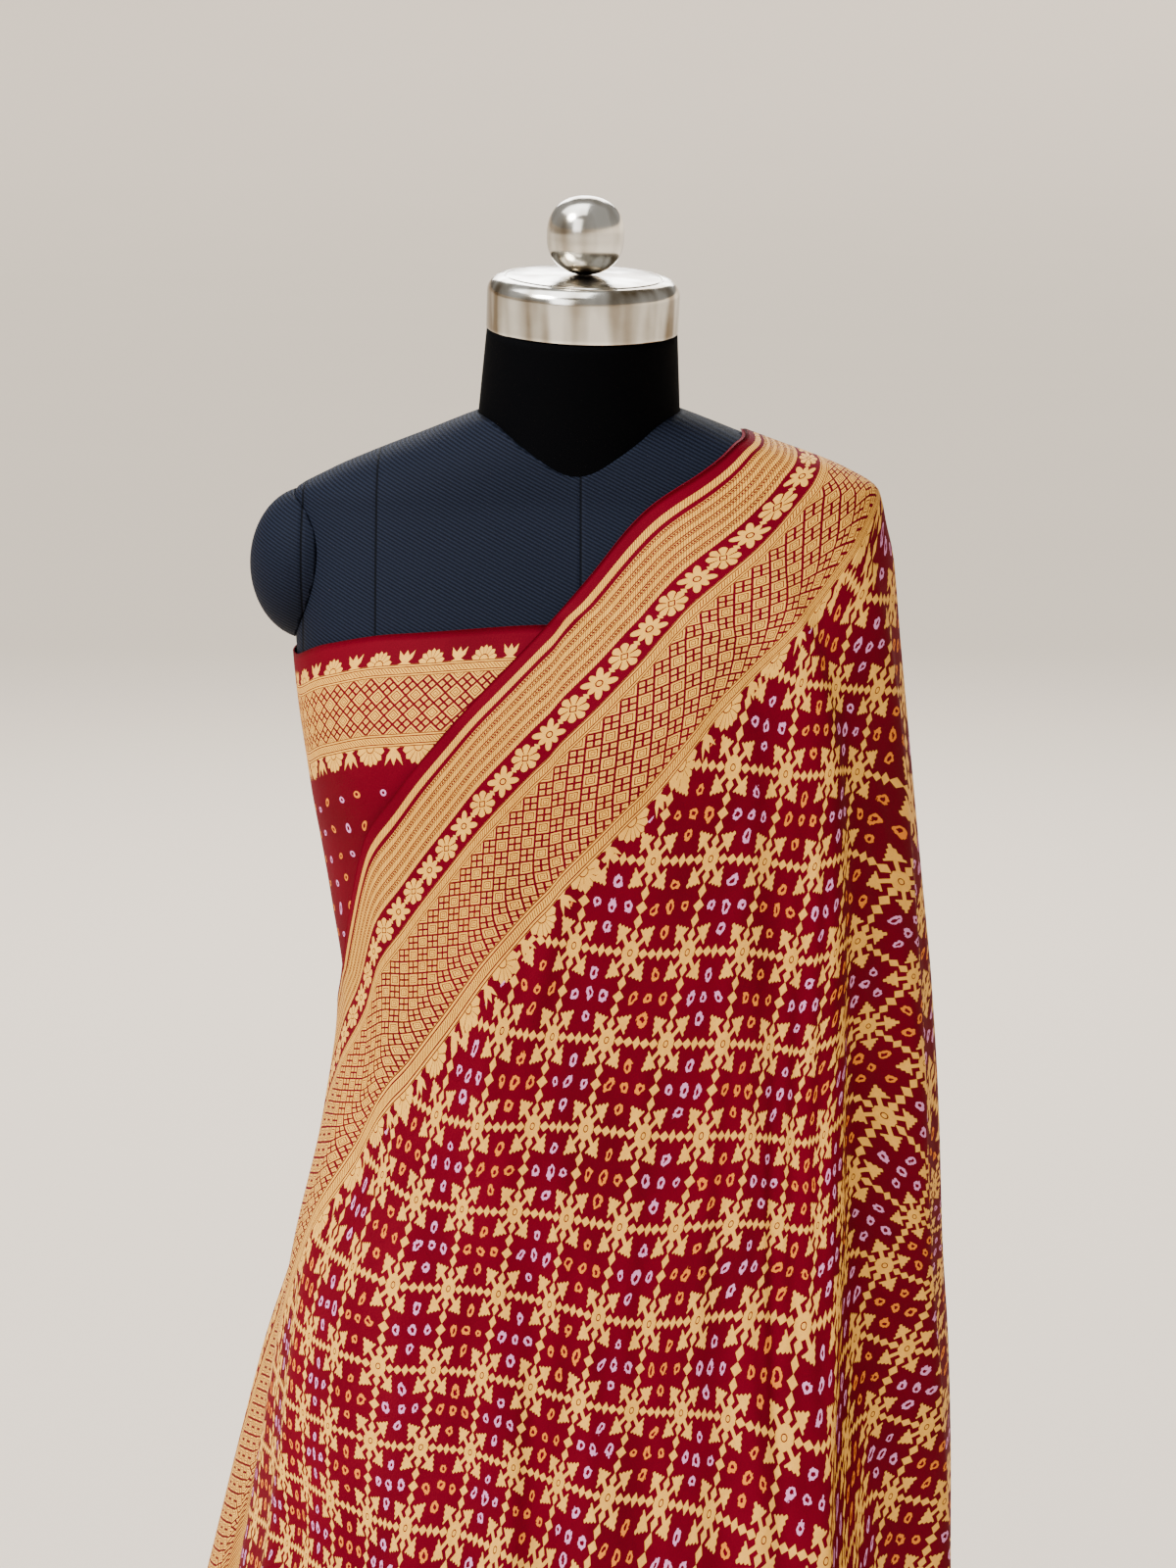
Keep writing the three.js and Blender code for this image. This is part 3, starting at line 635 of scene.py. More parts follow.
def plain_stripe(s, t, low, high):
    """A gold stripe edged with dark lines, with a row of slanting ticks along its middle."""
    middle, half = (low + high) / 2, (high - low) / 2
    away = abs(t - middle)
    lines = either(between(away, half * 0.46, half * 0.62), between(away, half * 0.84, half * 0.97))
    ticks = below(away, half * 0.36) * below(fract((s + t) * 0.5), 0.3)
    return between(t, low, high) * (1 - either(lines, ticks))


def line_bands(s, t, low, high, count):
    """Hatched gold bands with a thin line and a row of dots between them."""
    pitch = (high - low) / count
    place = fract((t - low) * (1 / pitch)) * pitch
    thin = between(place, 0.0, 0.75)
    dots = between(place, 1.2, 2.4) * below(fold(s, 2.2), 0.66)
    rows = between(place, 2.8, 3.25)
    return between(t, low, high) * (1 - either(thin, dots, rows)) * hatch(s, t, 2.0, 0.22)


def diamond_lattice(s, t, low, high, pitch):
    """Large diamonds ringed inside each other, with four small ones between them."""
    p, q = (s + t - low) * (1 / pitch), (s - t + low) * (1 / pitch)
    apart = least(fold(p, 1), fold(q, 1))
    odd = fold(math_node("FLOOR", p) + math_node("FLOOR", q), 2)
    ringed = either(below(apart, 0.075), between(apart, 0.20, 0.26), between(apart, 0.36, 0.40))
    small = least(fold(p * 2, 1), fold(q * 2, 1))
    small = either(below(small, 0.16), between(small, 0.36, 0.41))
    return between(t, low, high) * (1 - (ringed + odd * (small - ringed)))


def vine(s, t, middle, pitch):
    """Round rosettes and pointed star flowers in turn, joined by small diamonds."""
    across = t - middle
    rose, star = past_middle(s, pitch), past_middle(s + pitch / 2, pitch)
    reach = length_of(rose, across)
    lobes = abs(math_node("COSINE", math_node("ARCTAN2", across, rose) * 4))
    rose_mask = below(reach, 7.2 + 2.1 * lobes) * (1 - below(lobes, 0.26) * between(reach, 3.1, 12))
    rose_mask = rose_mask * (1 - between(abs(rose) + abs(across), 2.0, 3.0))
    angle = math_node("ARCTAN2", across, star) * 2
    reach = length_of(star, across)
    long_petals = 10.9 * math_node("POWER", abs(math_node("SINE", angle)), 2.2)
    short_petals = 8.4 * math_node("POWER", abs(math_node("COSINE", angle)), 1.5)
    petals = either(below(reach, long_petals), below(reach, short_petals), below(reach, 3.4))
    star_mask = petals * (1 - between(reach, 1.6, 2.4))
    link = diamond(fold(s - pitch / 4, pitch / 2), across, 1.7, 2.6)
    return either(rose_mask, star_mask, link)


def leaf_edge(s, t, base, pitch, reach):
    """Lotus fans and three-petalled tulips in turn, standing on an edge of the border."""
    up = t - base
    fan, tulip = past_middle(s, pitch), abs(past_middle(s + pitch / 2, pitch))
    far = length_of(fan * (26 / pitch * 1.45), up)
    petal = fold(math_node("ARCTAN2", fan * 1.3, up), 0.46)
    fan_mask = below(far + petal * 8, reach + 0.3) * (1 - below(0.205, petal) * below(3.4, far))
    fan_mask = fan_mask * (1 - between(far, 2.8, 3.4))
    side = abs(tulip - up * 0.52) + abs(up * (1 / reach) - 0.42) * 3.2
    tulip_mask = either(below(side, 1.9), diamond(tulip, up - reach * 0.5, 2.3, reach * 0.52),
                        diamond(tulip, up, 4.2, 2.4))
    return between(up, 0, reach * 1.3) * either(fan_mask, tulip_mask)


def zari_field(p, q):
    """One cell of the lattice of flowers: rosette, four toothed buds and a chain of links."""
    u, v = fold(p, 1), fold(q, 1)
    far, near = math_node("MAXIMUM", u, v), least(u, v)
    teeth = fold(near, 0.062)
    heart = between(length_of(u, v), 0.030, 0.043)
    rosette = below(far + near * 0.3 - teeth * 0.55, 0.128) * (1 - heart)
    buds = below(far - near * 0.2 - teeth * 0.75, 0.232) * below(0.335, far + near)
    stem = below(abs(u - v), 0.038) * between(near, 0.06, 0.2)
    links = either(
        diamond(u - 0.215, v, 0.082, 0.060), diamond(u - 0.365, v, 0.080, 0.060),
        diamond(u - 0.5, v, 0.060, 0.078), diamond(v - 0.190, u, 0.078, 0.066),
        diamond(v - 0.345, u, 0.082, 0.070), diamond(v - 0.5, u, 0.072, 0.094),
    )
    return either(rosette, buds, stem, links)


def tied_dots(u, v, size, wall, wobble):
    """Rings left by tied points, at the middle of a cell and on four sides of it."""
    reach = least(length_of(u, v), length_of(u - 0.26, v), length_of(u, v - 0.25)) + wobble
    return between(reach, size - wall, size + wall), below(reach, size * 2.4)


def new_material(name):
    material = bpy.data.materials.new(name)
    material.use_nodes = True
    return material


def noise(vector, scale, detail, roughness=0.5):
    return add_node(vector.tree, "ShaderNodeTexNoise", "Fac",
                    Vector=vector, Scale=scale, Detail=detail, Roughness=roughness)


def stretched(vector, *scale):
    return add_node(vector.tree, "ShaderNodeMapping", "Vector", Vector=vector, Scale=scale)


def mix_colour(amount, first, second):
    """A colour between two, each of them fixed or a term."""
    node = amount.tree.nodes.new("ShaderNodeMix")
    node.data_type = "RGBA"
    feed(amount.tree, amount, node.inputs[0])
    for socket, value in zip(node.inputs[6:8], (first, second)):
        feed(amount.tree, value if isinstance(value, Term) else (*value, 1), socket)
    return Term(amount.tree, node.outputs[2])


def linear(red, green, blue):
    """A display colour of 0 to 255 as the shader's linear colour."""
    shares = (value / 255 for value in (red, green, blue))
    return tuple(share / 12.92 if share <= 0.04045 else ((share + 0.055) / 1.055) ** 2.4 for share in shares)


def parts_of(vector):
    node = vector.tree.nodes.new("ShaderNodeSeparateXYZ")
    feed(vector.tree, vector, node.inputs[0])
    return [Term(vector.tree, socket) for socket in node.outputs]


def cloth_place(material):
    """The flat cloth's own coordinates, in millimetres: the vector, along and across."""
    node = material.node_tree.nodes.new("ShaderNodeAttribute")
    node.attribute_name = "cloth_cut"
    vector = Term(material.node_tree, node.outputs["Vector"])
    return vector, *parts_of(vector)[:2]


def object_material(name):
    """A new material, and the coordinates of the object that it is on, in metres."""
    material = new_material(name)
    return material, add_node(material.node_tree, "ShaderNodeTexCoord", "Object")


def finish(material, colour, rough, height, depth, strength, **values):
    """Wires a material's colour, roughness and bump, and sets the shader's other inputs."""
    tree = material.node_tree
    normal = add_node(tree, "ShaderNodeBump", "Normal", Distance=depth, Strength=strength, Height=height)
    shader = tree.nodes["Principled BSDF"]
    for name, value in {"Base Color": colour, "Roughness": rough, "Normal": normal, **values}.items():
        feed(tree, value, shader.inputs[name.replace("_", " ")])
    return material


def cloth_finish(material, vector, gold, dot, dot_tone, pucker, sari):
    """Crepe ground, raised gold weave and tied dots, joined in one shader."""
    wide = noise(vector, 0.012, 3)
    grain = noise(vector, 0.9, 3, 0.6)
    streak = noise(vector, 0.16, 2)
    ground = mix_colour(wide * 0.8 + grain * 0.35, sari.ground_deep, sari.ground)
    zari = mix_colour(streak * 0.6 + grain * 0.5, sari.zari_deep, sari.zari)
    tied = mix_colour(dot_tone, sari.dot_pink, sari.dot_orange)
    cloth = mix_colour(dot * 0.88, mix_colour(gold, ground, zari), tied)
    height = gold * 0.55 + grain * 0.34 + pucker * 0.55
    return finish(material, cloth, 0.74 - 0.22 * gold, height, 0.0005, 0.75, Specular_IOR_Level=0.05)


def sari_material(sari):
    """Bands of the border by their distance from a selvedge, and the field between them."""
    material = new_material("crimson crepe with gold zari")
    vector, s, t = cloth_place(material)
    edge = least(t, CLOTH_WIDTH - t)
    border = either(
        between(edge, 9.8, 15.1) * hatch(s, edge, 1.9, 0.24),
        line_bands(s, edge, 17.8, 51.1, 5),
        vine(s, edge, 62.4, 39.4) * between(edge, 51.1, 73.8),
        plain_stripe(s, edge, 73.8, 82.7),
        diamond_lattice(s, edge, 82.7, 141.4, 12.6),
        plain_stripe(s, edge, 141.4, BORDER_WIDTH),
        leaf_edge(s, edge, BORDER_WIDTH, 40, 11.3),
    )
    p = (s + t - LATTICE_ALONG - LATTICE_ACROSS) * (1 / LATTICE_PITCH)
    q = (t - s + LATTICE_ALONG - LATTICE_ACROSS) * (1 / LATTICE_PITCH)
    inner = below(FIELD_FROM, edge)
    gold = either(border, zari_field(p, q) * inner)
    shift = (noise(vector, 0.06, 1) - 0.5) * 0.16
    other = (noise(vector, 0.08, 1) - 0.5) * 0.16
    wobble = (noise(vector, 0.5, 1) - 0.5) * 0.055
    ring, near = tied_dots(0.5 - fold(p + shift, 1), 0.5 - fold(q + other, 1), 0.048, 0.0185, wobble)
    clear = below(DOTS_FROM, edge) * (1 - gold)
    tone = fold(math_node("FLOOR", p), 2)
    return cloth_finish(material, vector, gold, ring * clear, tone, near * clear, sari)


def wrap_material(sari):
    """The inner wrap's narrower border, and sparse dots below it."""
    material = new_material("crimson crepe of the inner wrap")
    vector, s, t = cloth_place(material)
    gold = either(
        leaf_edge(s, 20.2 - t, 0.0, 32, 9.0) * between(t, 7.0, 20.2),
        plain_stripe(s, t, 20.2, 28.2),
        diamond_lattice(s, t, 28.2, 63.8, 11.9),
        plain_stripe(s, t, 63.8, 72.3),
        leaf_edge(s, t, 72.3, 32, 11.5),
    )
    column = s * (1 / WRAP_DOT_PITCH[0]) + noise(vector, 0.03, 1) * 0.9
    row = t * (1 / WRAP_DOT_PITCH[1]) + noise(vector, 0.035, 1) * 0.9
    reach = length_of(fold(column, 1), fold(row + 0.5, 1))
    clear = below(WRAP_DOTS_FROM, t)
    tone = fold(math_node("FLOOR", column + 0.5), 2)
    ring, near = between(reach, 0.07, 0.145), below(reach, 0.3)
    return cloth_finish(material, vector, gold, ring * clear, tone, near * clear, sari)


def cover_material(form):
    """Ribbed twill with sewn seams: centre front and back, and two on each side. The ribs are also painted
    into the colour: lit tone on their crests, painted shade in their valleys.
    """
    material, vector = object_material("ribbed twill form cover")
    x, _, z = parts_of(vector)
    seams = least(abs(x), abs(abs(x) - SIDE_SEAM), abs(abs(x) - ARM_SEAM))
    groove = math_node("SMOOTH_MIN", seams * (1 / SEAM_GROOVE), 1, 0.5)
    rib = math_node("SINE", (x * 0.45 + z * 0.9) * (2 * math.pi / RIB_PITCH))
    grain = noise(vector, 900, 2)
    wide = noise(vector, 9, 3)
    # Painted shade: the rib sine darkens the colour in the rib valleys; the noise adds the cover's own
    # random tone
    cloth = mix_colour(rib * 0.40 + grain * 0.50 + wide * 0.25, form.cover_shade_and_tone, form.cover)
    sewn = mix_colour(below(seams, SEAM_LINE) * 0.75, cloth, form.seam)
    height = rib * 0.10 + grain * 0.12 + groove * 0.9
    return finish(material, sewn, 0.66 + grain * 0.16, height, 0.0007, 0.8, Specular_IOR_Level=0.05)


def neck_material(form):
    material, vector = object_material("plain black neck cover")
    grain = noise(vector, 1300, 2)
    wide = noise(vector, 14, 2)
    cloth = mix_colour(grain * 0.5 + wide * 0.3, form.neck_deep, form.neck)
    return finish(material, cloth, 0.78 + grain * 0.14, grain, 0.0003, 0.5, Specular_IOR_Level=0.03)


def polished_material(metal):
    """Spun and polished metal with faint turning lines and hammered waves, and tan reflections painted into
    its colour as vertical streaks.
    """
    material, vector = object_material("polished metal")
    waves = noise(vector, 34, 1)
    smudge_and_reflection = noise(vector, 60, 3)
    turned = noise(stretched(vector, 6, 6, 900), 1.0, 2)
    # Painted reflection: vertical tan streaks in the colour stand for what the metal reflects; the smudge
    # noise also varies the roughness
    reflection_streaks = (noise(stretched(vector, 44, 44, 5), 1.0, 2) - 0.42) * 4.5
    held = least(math_node("MAXIMUM", reflection_streaks + smudge_and_reflection * 0.4, 0.0), 1.0)
    colour = mix_colour(held, metal.polished_reflection_tan, metal.polished)
    rough = 0.10 + smudge_and_reflection * 0.10 + turned * 0.05
    return finish(material, colour, rough, waves * 0.9 + turned * 0.02, 0.0012, 0.6, Metallic=1.0)


def stand_material(metal):
    material, vector = object_material("brushed stand metal")
    brushed = noise(stretched(vector, 60, 60, 3), 12, 3)
    colour = mix_colour(noise(vector, 26, 4), metal.stand_deep, metal.stand)
    return finish(material, colour, 0.34 + brushed * 0.2, brushed, 0.0003, 0.4, Metallic=0.85)


def floor_material(stage):
    material, vector = object_material("pale floor")
    wide = noise(vector, 0.7, 3)
    grain = noise(vector, 55, 3)
    deep = [0.95 * value for value in stage.floor]
    colour = mix_colour(wide * 0.6 + grain * 0.4, deep, stage.floor)
    return finish(material, colour, 0.8 + grain * 0.1, grain, 0.0005, 0.3, Specular_IOR_Level=0.2)


def add_object(name, data, place=(0, 0, 0), turn=(0, 0, 0)):
    """An object of the scene at a place in metres, turned by angles in degrees."""
    added = bpy.data.objects.new(name, data)
    added.location = place
    added.rotation_euler = [math.radians(angle) for angle in turn]
    bpy.context.scene.collection.objects.link(added)
    return added


def new_piece(name, points, faces, material):
    """A smooth mesh of the scene from points in millimetres."""
    mesh = bpy.data.meshes.new(name)
    mesh.from_pydata((np.asarray(points) * MM).tolist(), [], faces)
    mesh.update()
    mesh.polygons.foreach_set("use_smooth", [True] * len(mesh.polygons))
    mesh.materials.append(material)
    return add_object(name, mesh)


def quads(grid):
    """Faces of four corners between the neighbours in a grid of point numbers."""
    return np.stack([grid[:-1, :-1], grid[1:, :-1], grid[1:, 1:], grid[:-1, 1:]], -1).reshape(-1, 4)


def ringed(rings):
    """Points and faces of a closed skin through level rings that run clockwise from above."""
    rows, count = rings.shape[:2]
    grid = np.arange(rows * count).reshape(rows, count)
    grid = np.append(grid, grid[:, :1], 1)
    faces = quads(grid).tolist()
    faces += [(rows * count, a, b) for a, b in zip(grid[0].tolist(), grid[0, 1:].tolist())]
    faces += [(rows * count + 1, b, a) for a, b in zip(grid[-1].tolist(), grid[-1, 1:].tolist())]
    ends = [(0, 0, rings[0, 0, 2]), (0, 0, rings[-1, 0, 2])]
    return np.concatenate([rings.reshape(-1, 3), ends]), faces


def sheet_piece(name, phi, z, radius_at, swell, sari, cut, material):
    """A closed sheet with two faces: phi, z and cut hold a value for each column and row."""
    base = radius_at(phi, z) + swell
    lean = slant(radius_at, phi, z)
    skins = [places(phi, z, base + out * lean) for out in (SHEET_INNER, SHEET_INNER + sari.thickness / MM)]
    grid = np.arange(phi.size).reshape(phi.shape)
    face = quads(grid)
    rim = np.concatenate([grid[:, 0], grid[-1, 1:], grid[-2::-1, -1], grid[0, -2:0:-1]])
    after = np.roll(rim, -1)
    edge = np.stack([rim, rim + phi.size, after + phi.size, after], 1)
    faces = np.concatenate([face[:, ::-1], np.roll(face, -1, 1) + phi.size, edge]).tolist()
    piece = new_piece(name, np.reshape(skins, (-1, 3)), faces, material)
    along, across = cut
    flat = np.stack([along, across, 0 * across], -1).astype(np.float32)
    layer = piece.data.attributes.new("cloth_cut", "FLOAT_VECTOR", "POINT")
    layer.data.foreach_set("vector", np.stack([flat, flat]).ravel())
    return piece


def turned_piece(name, outline, segments, material, axes, middle):
    """A turned body from an outline of radius and height, set on axes round a middle."""
    r, z = np.array(outline, float).T[..., None]
    points, faces = ringed(places(np.arange(segments) * 360 / segments, z, r))
    return new_piece(name, points @ axes.T + middle, faces, material)


def neck_place(height=0.0):
    """The leaning axes that the neck, cap and ball share, and a point at a height along them."""
    a, b = (math.radians(angle) for angle in NECK_LEAN)
    turn_x = np.array([[1, 0, 0], [0, math.cos(a), -math.sin(a)], [0, math.sin(a), math.cos(a)]])
    turn_y = np.array([[math.cos(b), 0, math.sin(b)], [0, 1, 0], [-math.sin(b), 0, math.cos(b)]])
    axes = turn_x @ turn_y
    return axes, np.array(NECK_ROOT) + axes[:, 2] * height


def neck_outline(margin, steps):
    """The neck from the torso up to the cap, drawing in a little."""
    heights = np.linspace(0, NECK_HEIGHT, steps)
    outline = list(zip(curve_at(NECK_SECTIONS, "r", heights) + margin, heights))
    outline[0] = (outline[0][0], -margin)
    return outline


def form_skin(margin):
    """The form with a margin outside it, its levels closer over the shoulders."""
    z = np.concatenate([np.arange(FORM_BOTTOM, 1330, 10), np.arange(1330, FORM_TOP, 3), [FORM_TOP]])[:, None]
    phi = np.arange(0, 360, 2.5)
    return ringed(places(phi, z, form_radius(phi, z) + margin))


def cut_away(piece, *others):
    """Takes other closed pieces out of a piece and drops them."""
    for other in others:
        modifier = piece.modifiers.new("cut", "BOOLEAN")
        modifier.operation, modifier.solver, modifier.object = "DIFFERENCE", "EXACT", other
    shaped = bpy.data.meshes.new_from_object(piece.evaluated_get(bpy.context.evaluated_depsgraph_get()))
    piece.modifiers.clear()
    piece.data = shaped
    for other in others:
        bpy.data.objects.remove(other)


def keep_outer_part(piece, side):
    """Drops what a cut left of a dome on the inner side of the form."""
    shape = bmesh.new()
    shape.from_mesh(piece.data)
    limit = abs(side) * MM * PAD_KEPT_FROM
    spare = [vertex for vertex in shape.verts if abs(vertex.co.x) < limit]
    bmesh.ops.delete(shape, geom=spare, context="VERTS")
    shape.to_mesh(piece.data)
    shape.free()


def paint(label, description, value):
    """A colour in linear red, green and blue."""
    return FloatVectorProperty(
        name=label, description=description, default=value, size=3, subtype="COLOR", min=0, max=1)


def power(label, description, value):
    """A light's power in watts."""
    return FloatProperty(name=label, description=description, default=value, subtype="POWER", unit="POWER")


class SariSettings(bpy.types.PropertyGroup):
    """Sizes and colours of the draped cloth."""

    thickness: FloatProperty(
        name="Thickness", description="Thickness of the cloth", default=0.0008, min=0.0003, max=0.0015,
        subtype="DISTANCE", unit="LENGTH")
    ground: paint("Ground", "Crimson of the crepe", (0.165, 0.0004, 0.0110))
    ground_deep: paint("Ground deep", "Darker crimson of the crepe", (0.050, 0.0001, 0.0016))
    zari: paint("Zari", "Light tone of the gold thread", (1.000, 0.530, 0.085))
    zari_deep: paint("Zari deep", "Deeper tone of the gold thread", (0.560, 0.250, 0.034))
    dot_pink: paint("Pink dots", "Lilac pink of the tied dots", linear(226, 150, 200))
    dot_orange: paint("Orange dots", "Orange of the tied dots", linear(232, 132, 40))


class FormSettings(bpy.types.PropertyGroup):
    """Colours of the dress form's covers."""

    cover: paint("Cover", "Lit tone of the ribbed cover", (0.0125, 0.0165, 0.0310))
    # The dark end of the cover: painted shade in the rib valleys, and the cover's own darker random tone
    cover_shade_and_tone: paint("Cover deep", "Dark tone of the ribbed cover", (0.0026, 0.0034, 0.0070))
    seam: paint("Seam", "Tone inside the seams", (0.0006, 0.0007, 0.0010))
    neck: paint("Neck", "Lit tone of the neck", (0.0011, 0.0012, 0.0017))
    neck_deep: paint("Neck deep", "Dark tone of the neck", (0.0004, 0.0004, 0.0007))


class MetalSettings(bpy.types.PropertyGroup):
    """Colours of the cap, the ball and the stand."""

    polished: paint("Polished", "Polished metal", linear(240, 238, 230))
    # Tan of the reflections painted as streaks on the cap and the ball
    polished_reflection_tan: paint("Polished deep", "Smudged polished metal", linear(122, 106, 80))
    stand: paint("Stand", "Metal of the stand", linear(96, 97, 100))
    stand_deep: paint("Stand deep", "Worn metal of the stand", linear(58, 59, 62))


class StageSettings(bpy.types.PropertyGroup):
    """Floor, light and camera."""

    floor: paint("Floor", "Colour of the floor", linear(238, 224, 206))
    sky: paint("Surround", "Colour of the soft surrounding light", (0.36, 0.345, 0.325))
    sky_strength: FloatProperty(
        name="Surround strength", description="Strength of the surrounding light", default=1.0)
    key_power: power("Key light", "Power of the large front light", 40.0)
    sun_strength: FloatProperty(
        name="Window light", description="Strength of the wide soft light from the upper left", default=4.7)
    back_power: power("High back light", "Power of the light over the back", 290.0)
    over_power: power("Overhead light", "Power of the soft light overhead", 80.0)
    lens: FloatProperty(name="Lens", description="Focal length of the camera in millimetres", default=80.87)


def stand_for(piece, nodes):
    """Rides a piece on the object and hides the nodes it stands for."""
    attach(piece, "root")
    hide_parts(*nodes)


class SARI_OT_stage(bpy.types.Operator):
    """Lay the floor, hang the lights and set up the camera"""

    bl_idname = "sari.stage"
    bl_label = "Stage"

    def execute(self, context):
        stage = context.scene.sari_stage
        turns = -np.arange(0, 360, 5)
        r, z = np.array(FLOOR_RISE).T[..., None] / MM
        points, faces = ringed(places(turns, z, r))
        points, faces = points[:-1], faces[:-len(turns)]
        new_piece("floor", points, faces, floor_material(stage))
        world = bpy.data.worlds.new("soft surround")
        world.use_nodes = True
        background = world.node_tree.nodes["Background"]
        background.inputs["Color"].default_value = (*stage.sky, 1)
        background.inputs["Strength"].default_value = stage.sky_strength
        context.scene.world = world
        for kind, name, power_name, place, turn, shape in LIGHTS:
            lamp = bpy.data.lights.new(name, kind)
            lamp.energy = getattr(stage, power_name)
            for key, value in shape.items():
                setattr(lamp, key, value)
            add_object(name, lamp, place, turn)
        lens = bpy.data.cameras.new("photo view")
        lens.lens, lens.sensor_width, lens.clip_end = stage.lens, 36, 500
        context.scene.camera = add_object("photo view", lens, CAMERA_PLACE, CAMERA_TURN)
        return {"FINISHED"}


class SARI_OT_form(bpy.types.Operator):
    """Build the padded torso, its arm ends and the neck"""

    bl_idname = "sari.form"
    bl_label = "Dress form"

    def execute(self, context):
        form = context.scene.sari_form
        cover = cover_material(form)
        neck_cover = neck_material(form)
        torso = new_piece("form_cover", *form_skin(0), cover)
        room = turned_piece("neck room", neck_outline(GAP, 12), 96, cover, *neck_place())
        hole_radius, hole_top = POLE_RADIUS + GAP, POLE_TOP + GAP
        outline = [(hole_radius, FORM_BOTTOM - 20), (hole_radius, hole_top)]
        hole = turned_piece("pole room", outline, 48, cover, np.eye(3), (0, 0, 0))
        cut_away(torso, room, hole)
        stand_for(torso, ["form_torso"])
        neck = turned_piece("neck_cover", neck_outline(0, 24), 128, neck_cover, *neck_place())
        stand_for(neck, ["form_neck"])
        half_circle = [(math.sin(turn), -math.cos(turn)) for turn in np.linspace(0, math.pi, 41)[1:-1]]
        for name, (x, z, reach, depth, half) in ARM_ENDS.items():
            axes = np.array([[0, 0, reach], [depth, 0, 0], [0, half, 0]])
            dome = turned_piece("pad_" + name, half_circle, 64, cover, axes, (x, 0, z))
            cut_away(dome, new_piece("form room", *form_skin(2 * GAP), cover))
            keep_outer_part(dome, x)
            stand_for(dome, [name])
        return {"FINISHED"}


class SARI_OT_cap(bpy.types.Operator):
    """Turn the polished cap and its ball"""

    bl_idname = "sari.cap"
    bl_label = "Neck cap and ball"

    def execute(self, context):
        polished = polished_material(context.scene.sari_metal)
        radius, height, corner, top = CAP_RADIUS, CAP_HEIGHT, CAP_CORNER, CAP_HEIGHT + CAP_RISE
        outline = [(radius - 1.2, 0), (radius - 0.4, 0.3), (radius, 1.1)]
        outline += [(radius, z) for z in np.linspace(3, height - corner, 8)]
        for turn in np.radians(np.linspace(6, 90, 15)):
            inward, down = corner * (1 - math.cos(turn)), corner * (1 - math.sin(turn))
            outline.append((radius - inward, height - down))
        groove = [(50.4, 33.6), (50.1, 33.3), (49.6, 33.4), (49.2, 33.9)]
        outline += groove + [(r, top - (r / 50) ** 2) for r in np.linspace(48, 3, 14)]
        lid_foot = NECK_HEIGHT + GAP
        cap = turned_piece("cap_lid", outline, 128, polished, *neck_place(lid_foot))
        stand_for(cap, ["neck_cap"])
        outline = [(BALL_SEAT, -BALL_RADIUS)]
        for turn in np.linspace(-78, 88, 48):
            c, s = math.cos(math.radians(turn)), math.sin(math.radians(turn))
            r = BALL_RADIUS * (c ** BALL_SQUARENESS + abs(s) ** BALL_SQUARENESS) ** (-1 / BALL_SQUARENESS)
            seam = 0.12 * math.exp(-((turn / 1.6) ** 2))
            outline.append(((r - seam) * c, r * s))
        ball_middle = lid_foot + top + GAP + BALL_RADIUS
        ball = turned_piece("cap_ball", outline, 112, polished, *neck_place(ball_middle))
        stand_for(ball, ["neck_ball"])
        return {"FINISHED"}


class SARI_OT_stand(bpy.types.Operator):
    """Finish the pole and the foot of the stand"""

    bl_idname = "sari.stand"
    bl_label = "Stand"

    def execute(self, context):
        material = stand_material(context.scene.sari_metal)
        for name in ("stand_pole", "stand_foot"):
            for place in bpy.data.objects[name].material_slots:
                place.material = material
        return {"FINISHED"}


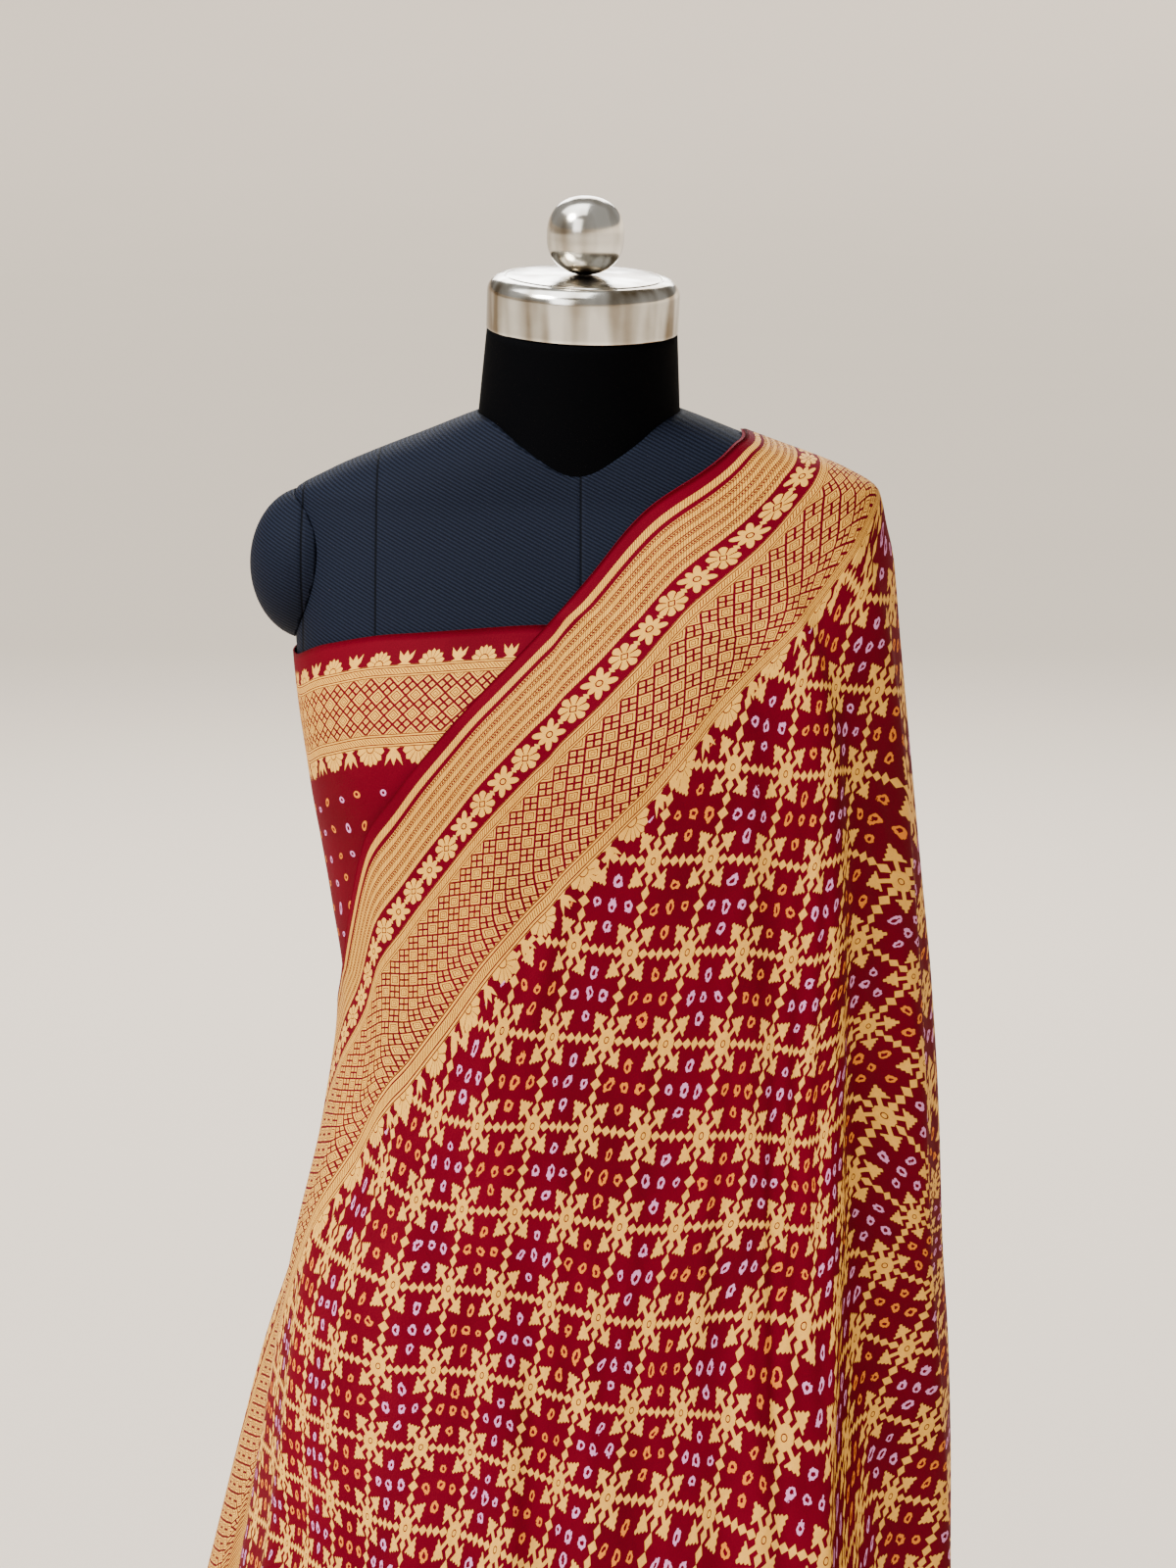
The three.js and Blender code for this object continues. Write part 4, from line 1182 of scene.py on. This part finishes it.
class SARI_OT_wrap(bpy.types.Operator):
    """Wind the inner cloth round the bust and let it hang"""

    bl_idname = "sari.wrap"
    bl_label = "Inner wrap"

    def execute(self, context):
        sari = context.scene.sari_cloth
        phi = np.linspace(WRAP_START, WRAP_END, WRAP_COLUMNS)[:, None]
        share = np.linspace(0, 1, WRAP_ROWS) ** WRAP_CROWDING
        z = wrap_top(phi) + (WRAP_BOTTOM - wrap_top(phi)) * share
        phi = phi + 0 * z
        ripple = RIPPLE_SWELL * (1 + np.sin(np.radians(phi * 23 + z * 0.9)))
        swell = ripple * ease((RIPPLE_TOP - z) / RIPPLE_FADE) * ease((z - RIPPLE_LOW) / RIPPLE_FADE)
        spots = places(phi, z, wrap_radius(phi, z))
        along = run_along(spots[:, WRAP_MEASURED_ROW], 0)[:, None] + 0 * z
        cut = along, run_along(spots, 1)
        piece = sheet_piece("wrap_cloth", phi, z, wrap_radius, swell, sari, cut, wrap_material(sari))
        stand_for(piece, ["inner_wrap"])
        return {"FINISHED"}


class SARI_OT_drape(bpy.types.Operator):
    """Drape the sari over the right shoulder and round the body"""

    bl_idname = "sari.drape"
    bl_label = "Draped sari"

    def execute(self, context):
        sari = context.scene.sari_cloth
        phi, z = drape_grid()
        swell, cut = crease_swell(phi, z), cloth_cut(phi, z)
        piece = sheet_piece("sari_cloth", phi, z, drape_radius, swell, sari, cut, sari_material(sari))
        stand_for(piece, ["sari_drape"])
        return {"FINISHED"}


class SARI_PT_panel(bpy.types.Panel):
    """Buttons and settings for the sari, the form and the stage"""

    bl_label = "Sari on a dress form"
    bl_idname = "SARI_PT_panel"
    bl_space_type = "VIEW_3D"
    bl_region_type = "UI"
    bl_category = "Sari"

    def draw(self, context):
        layout = self.layout
        for operator in OPERATORS:
            layout.operator(operator.bl_idname)
        for group in SETTINGS:
            settings = getattr(context.scene, group)
            box = layout.box()
            for name in settings.__annotations__:
                box.prop(settings, name)


OPERATORS = (SARI_OT_stage, SARI_OT_stand, SARI_OT_form, SARI_OT_cap, SARI_OT_wrap, SARI_OT_drape)
SETTINGS = {
    "sari_cloth": SariSettings, "sari_form": FormSettings,
    "sari_metal": MetalSettings, "sari_stage": StageSettings,
}


def register():
    for group in SETTINGS.values():
        bpy.utils.register_class(group)
    for name, group in SETTINGS.items():
        setattr(bpy.types.Scene, name, PointerProperty(type=group))
    for operator in OPERATORS:
        bpy.utils.register_class(operator)
    bpy.utils.register_class(SARI_PT_panel)


def unregister():
    bpy.utils.unregister_class(SARI_PT_panel)
    for operator in reversed(OPERATORS):
        bpy.utils.unregister_class(operator)
    for name in SETTINGS:
        delattr(bpy.types.Scene, name)
    for group in SETTINGS.values():
        bpy.utils.unregister_class(group)


def main():
    register()
    bpy.ops.sari.stage()
    bpy.ops.sari.stand()
    bpy.ops.sari.form()
    bpy.ops.sari.cap()
    bpy.ops.sari.wrap()
    bpy.ops.sari.drape()


if __name__ == "__main__":
    main()
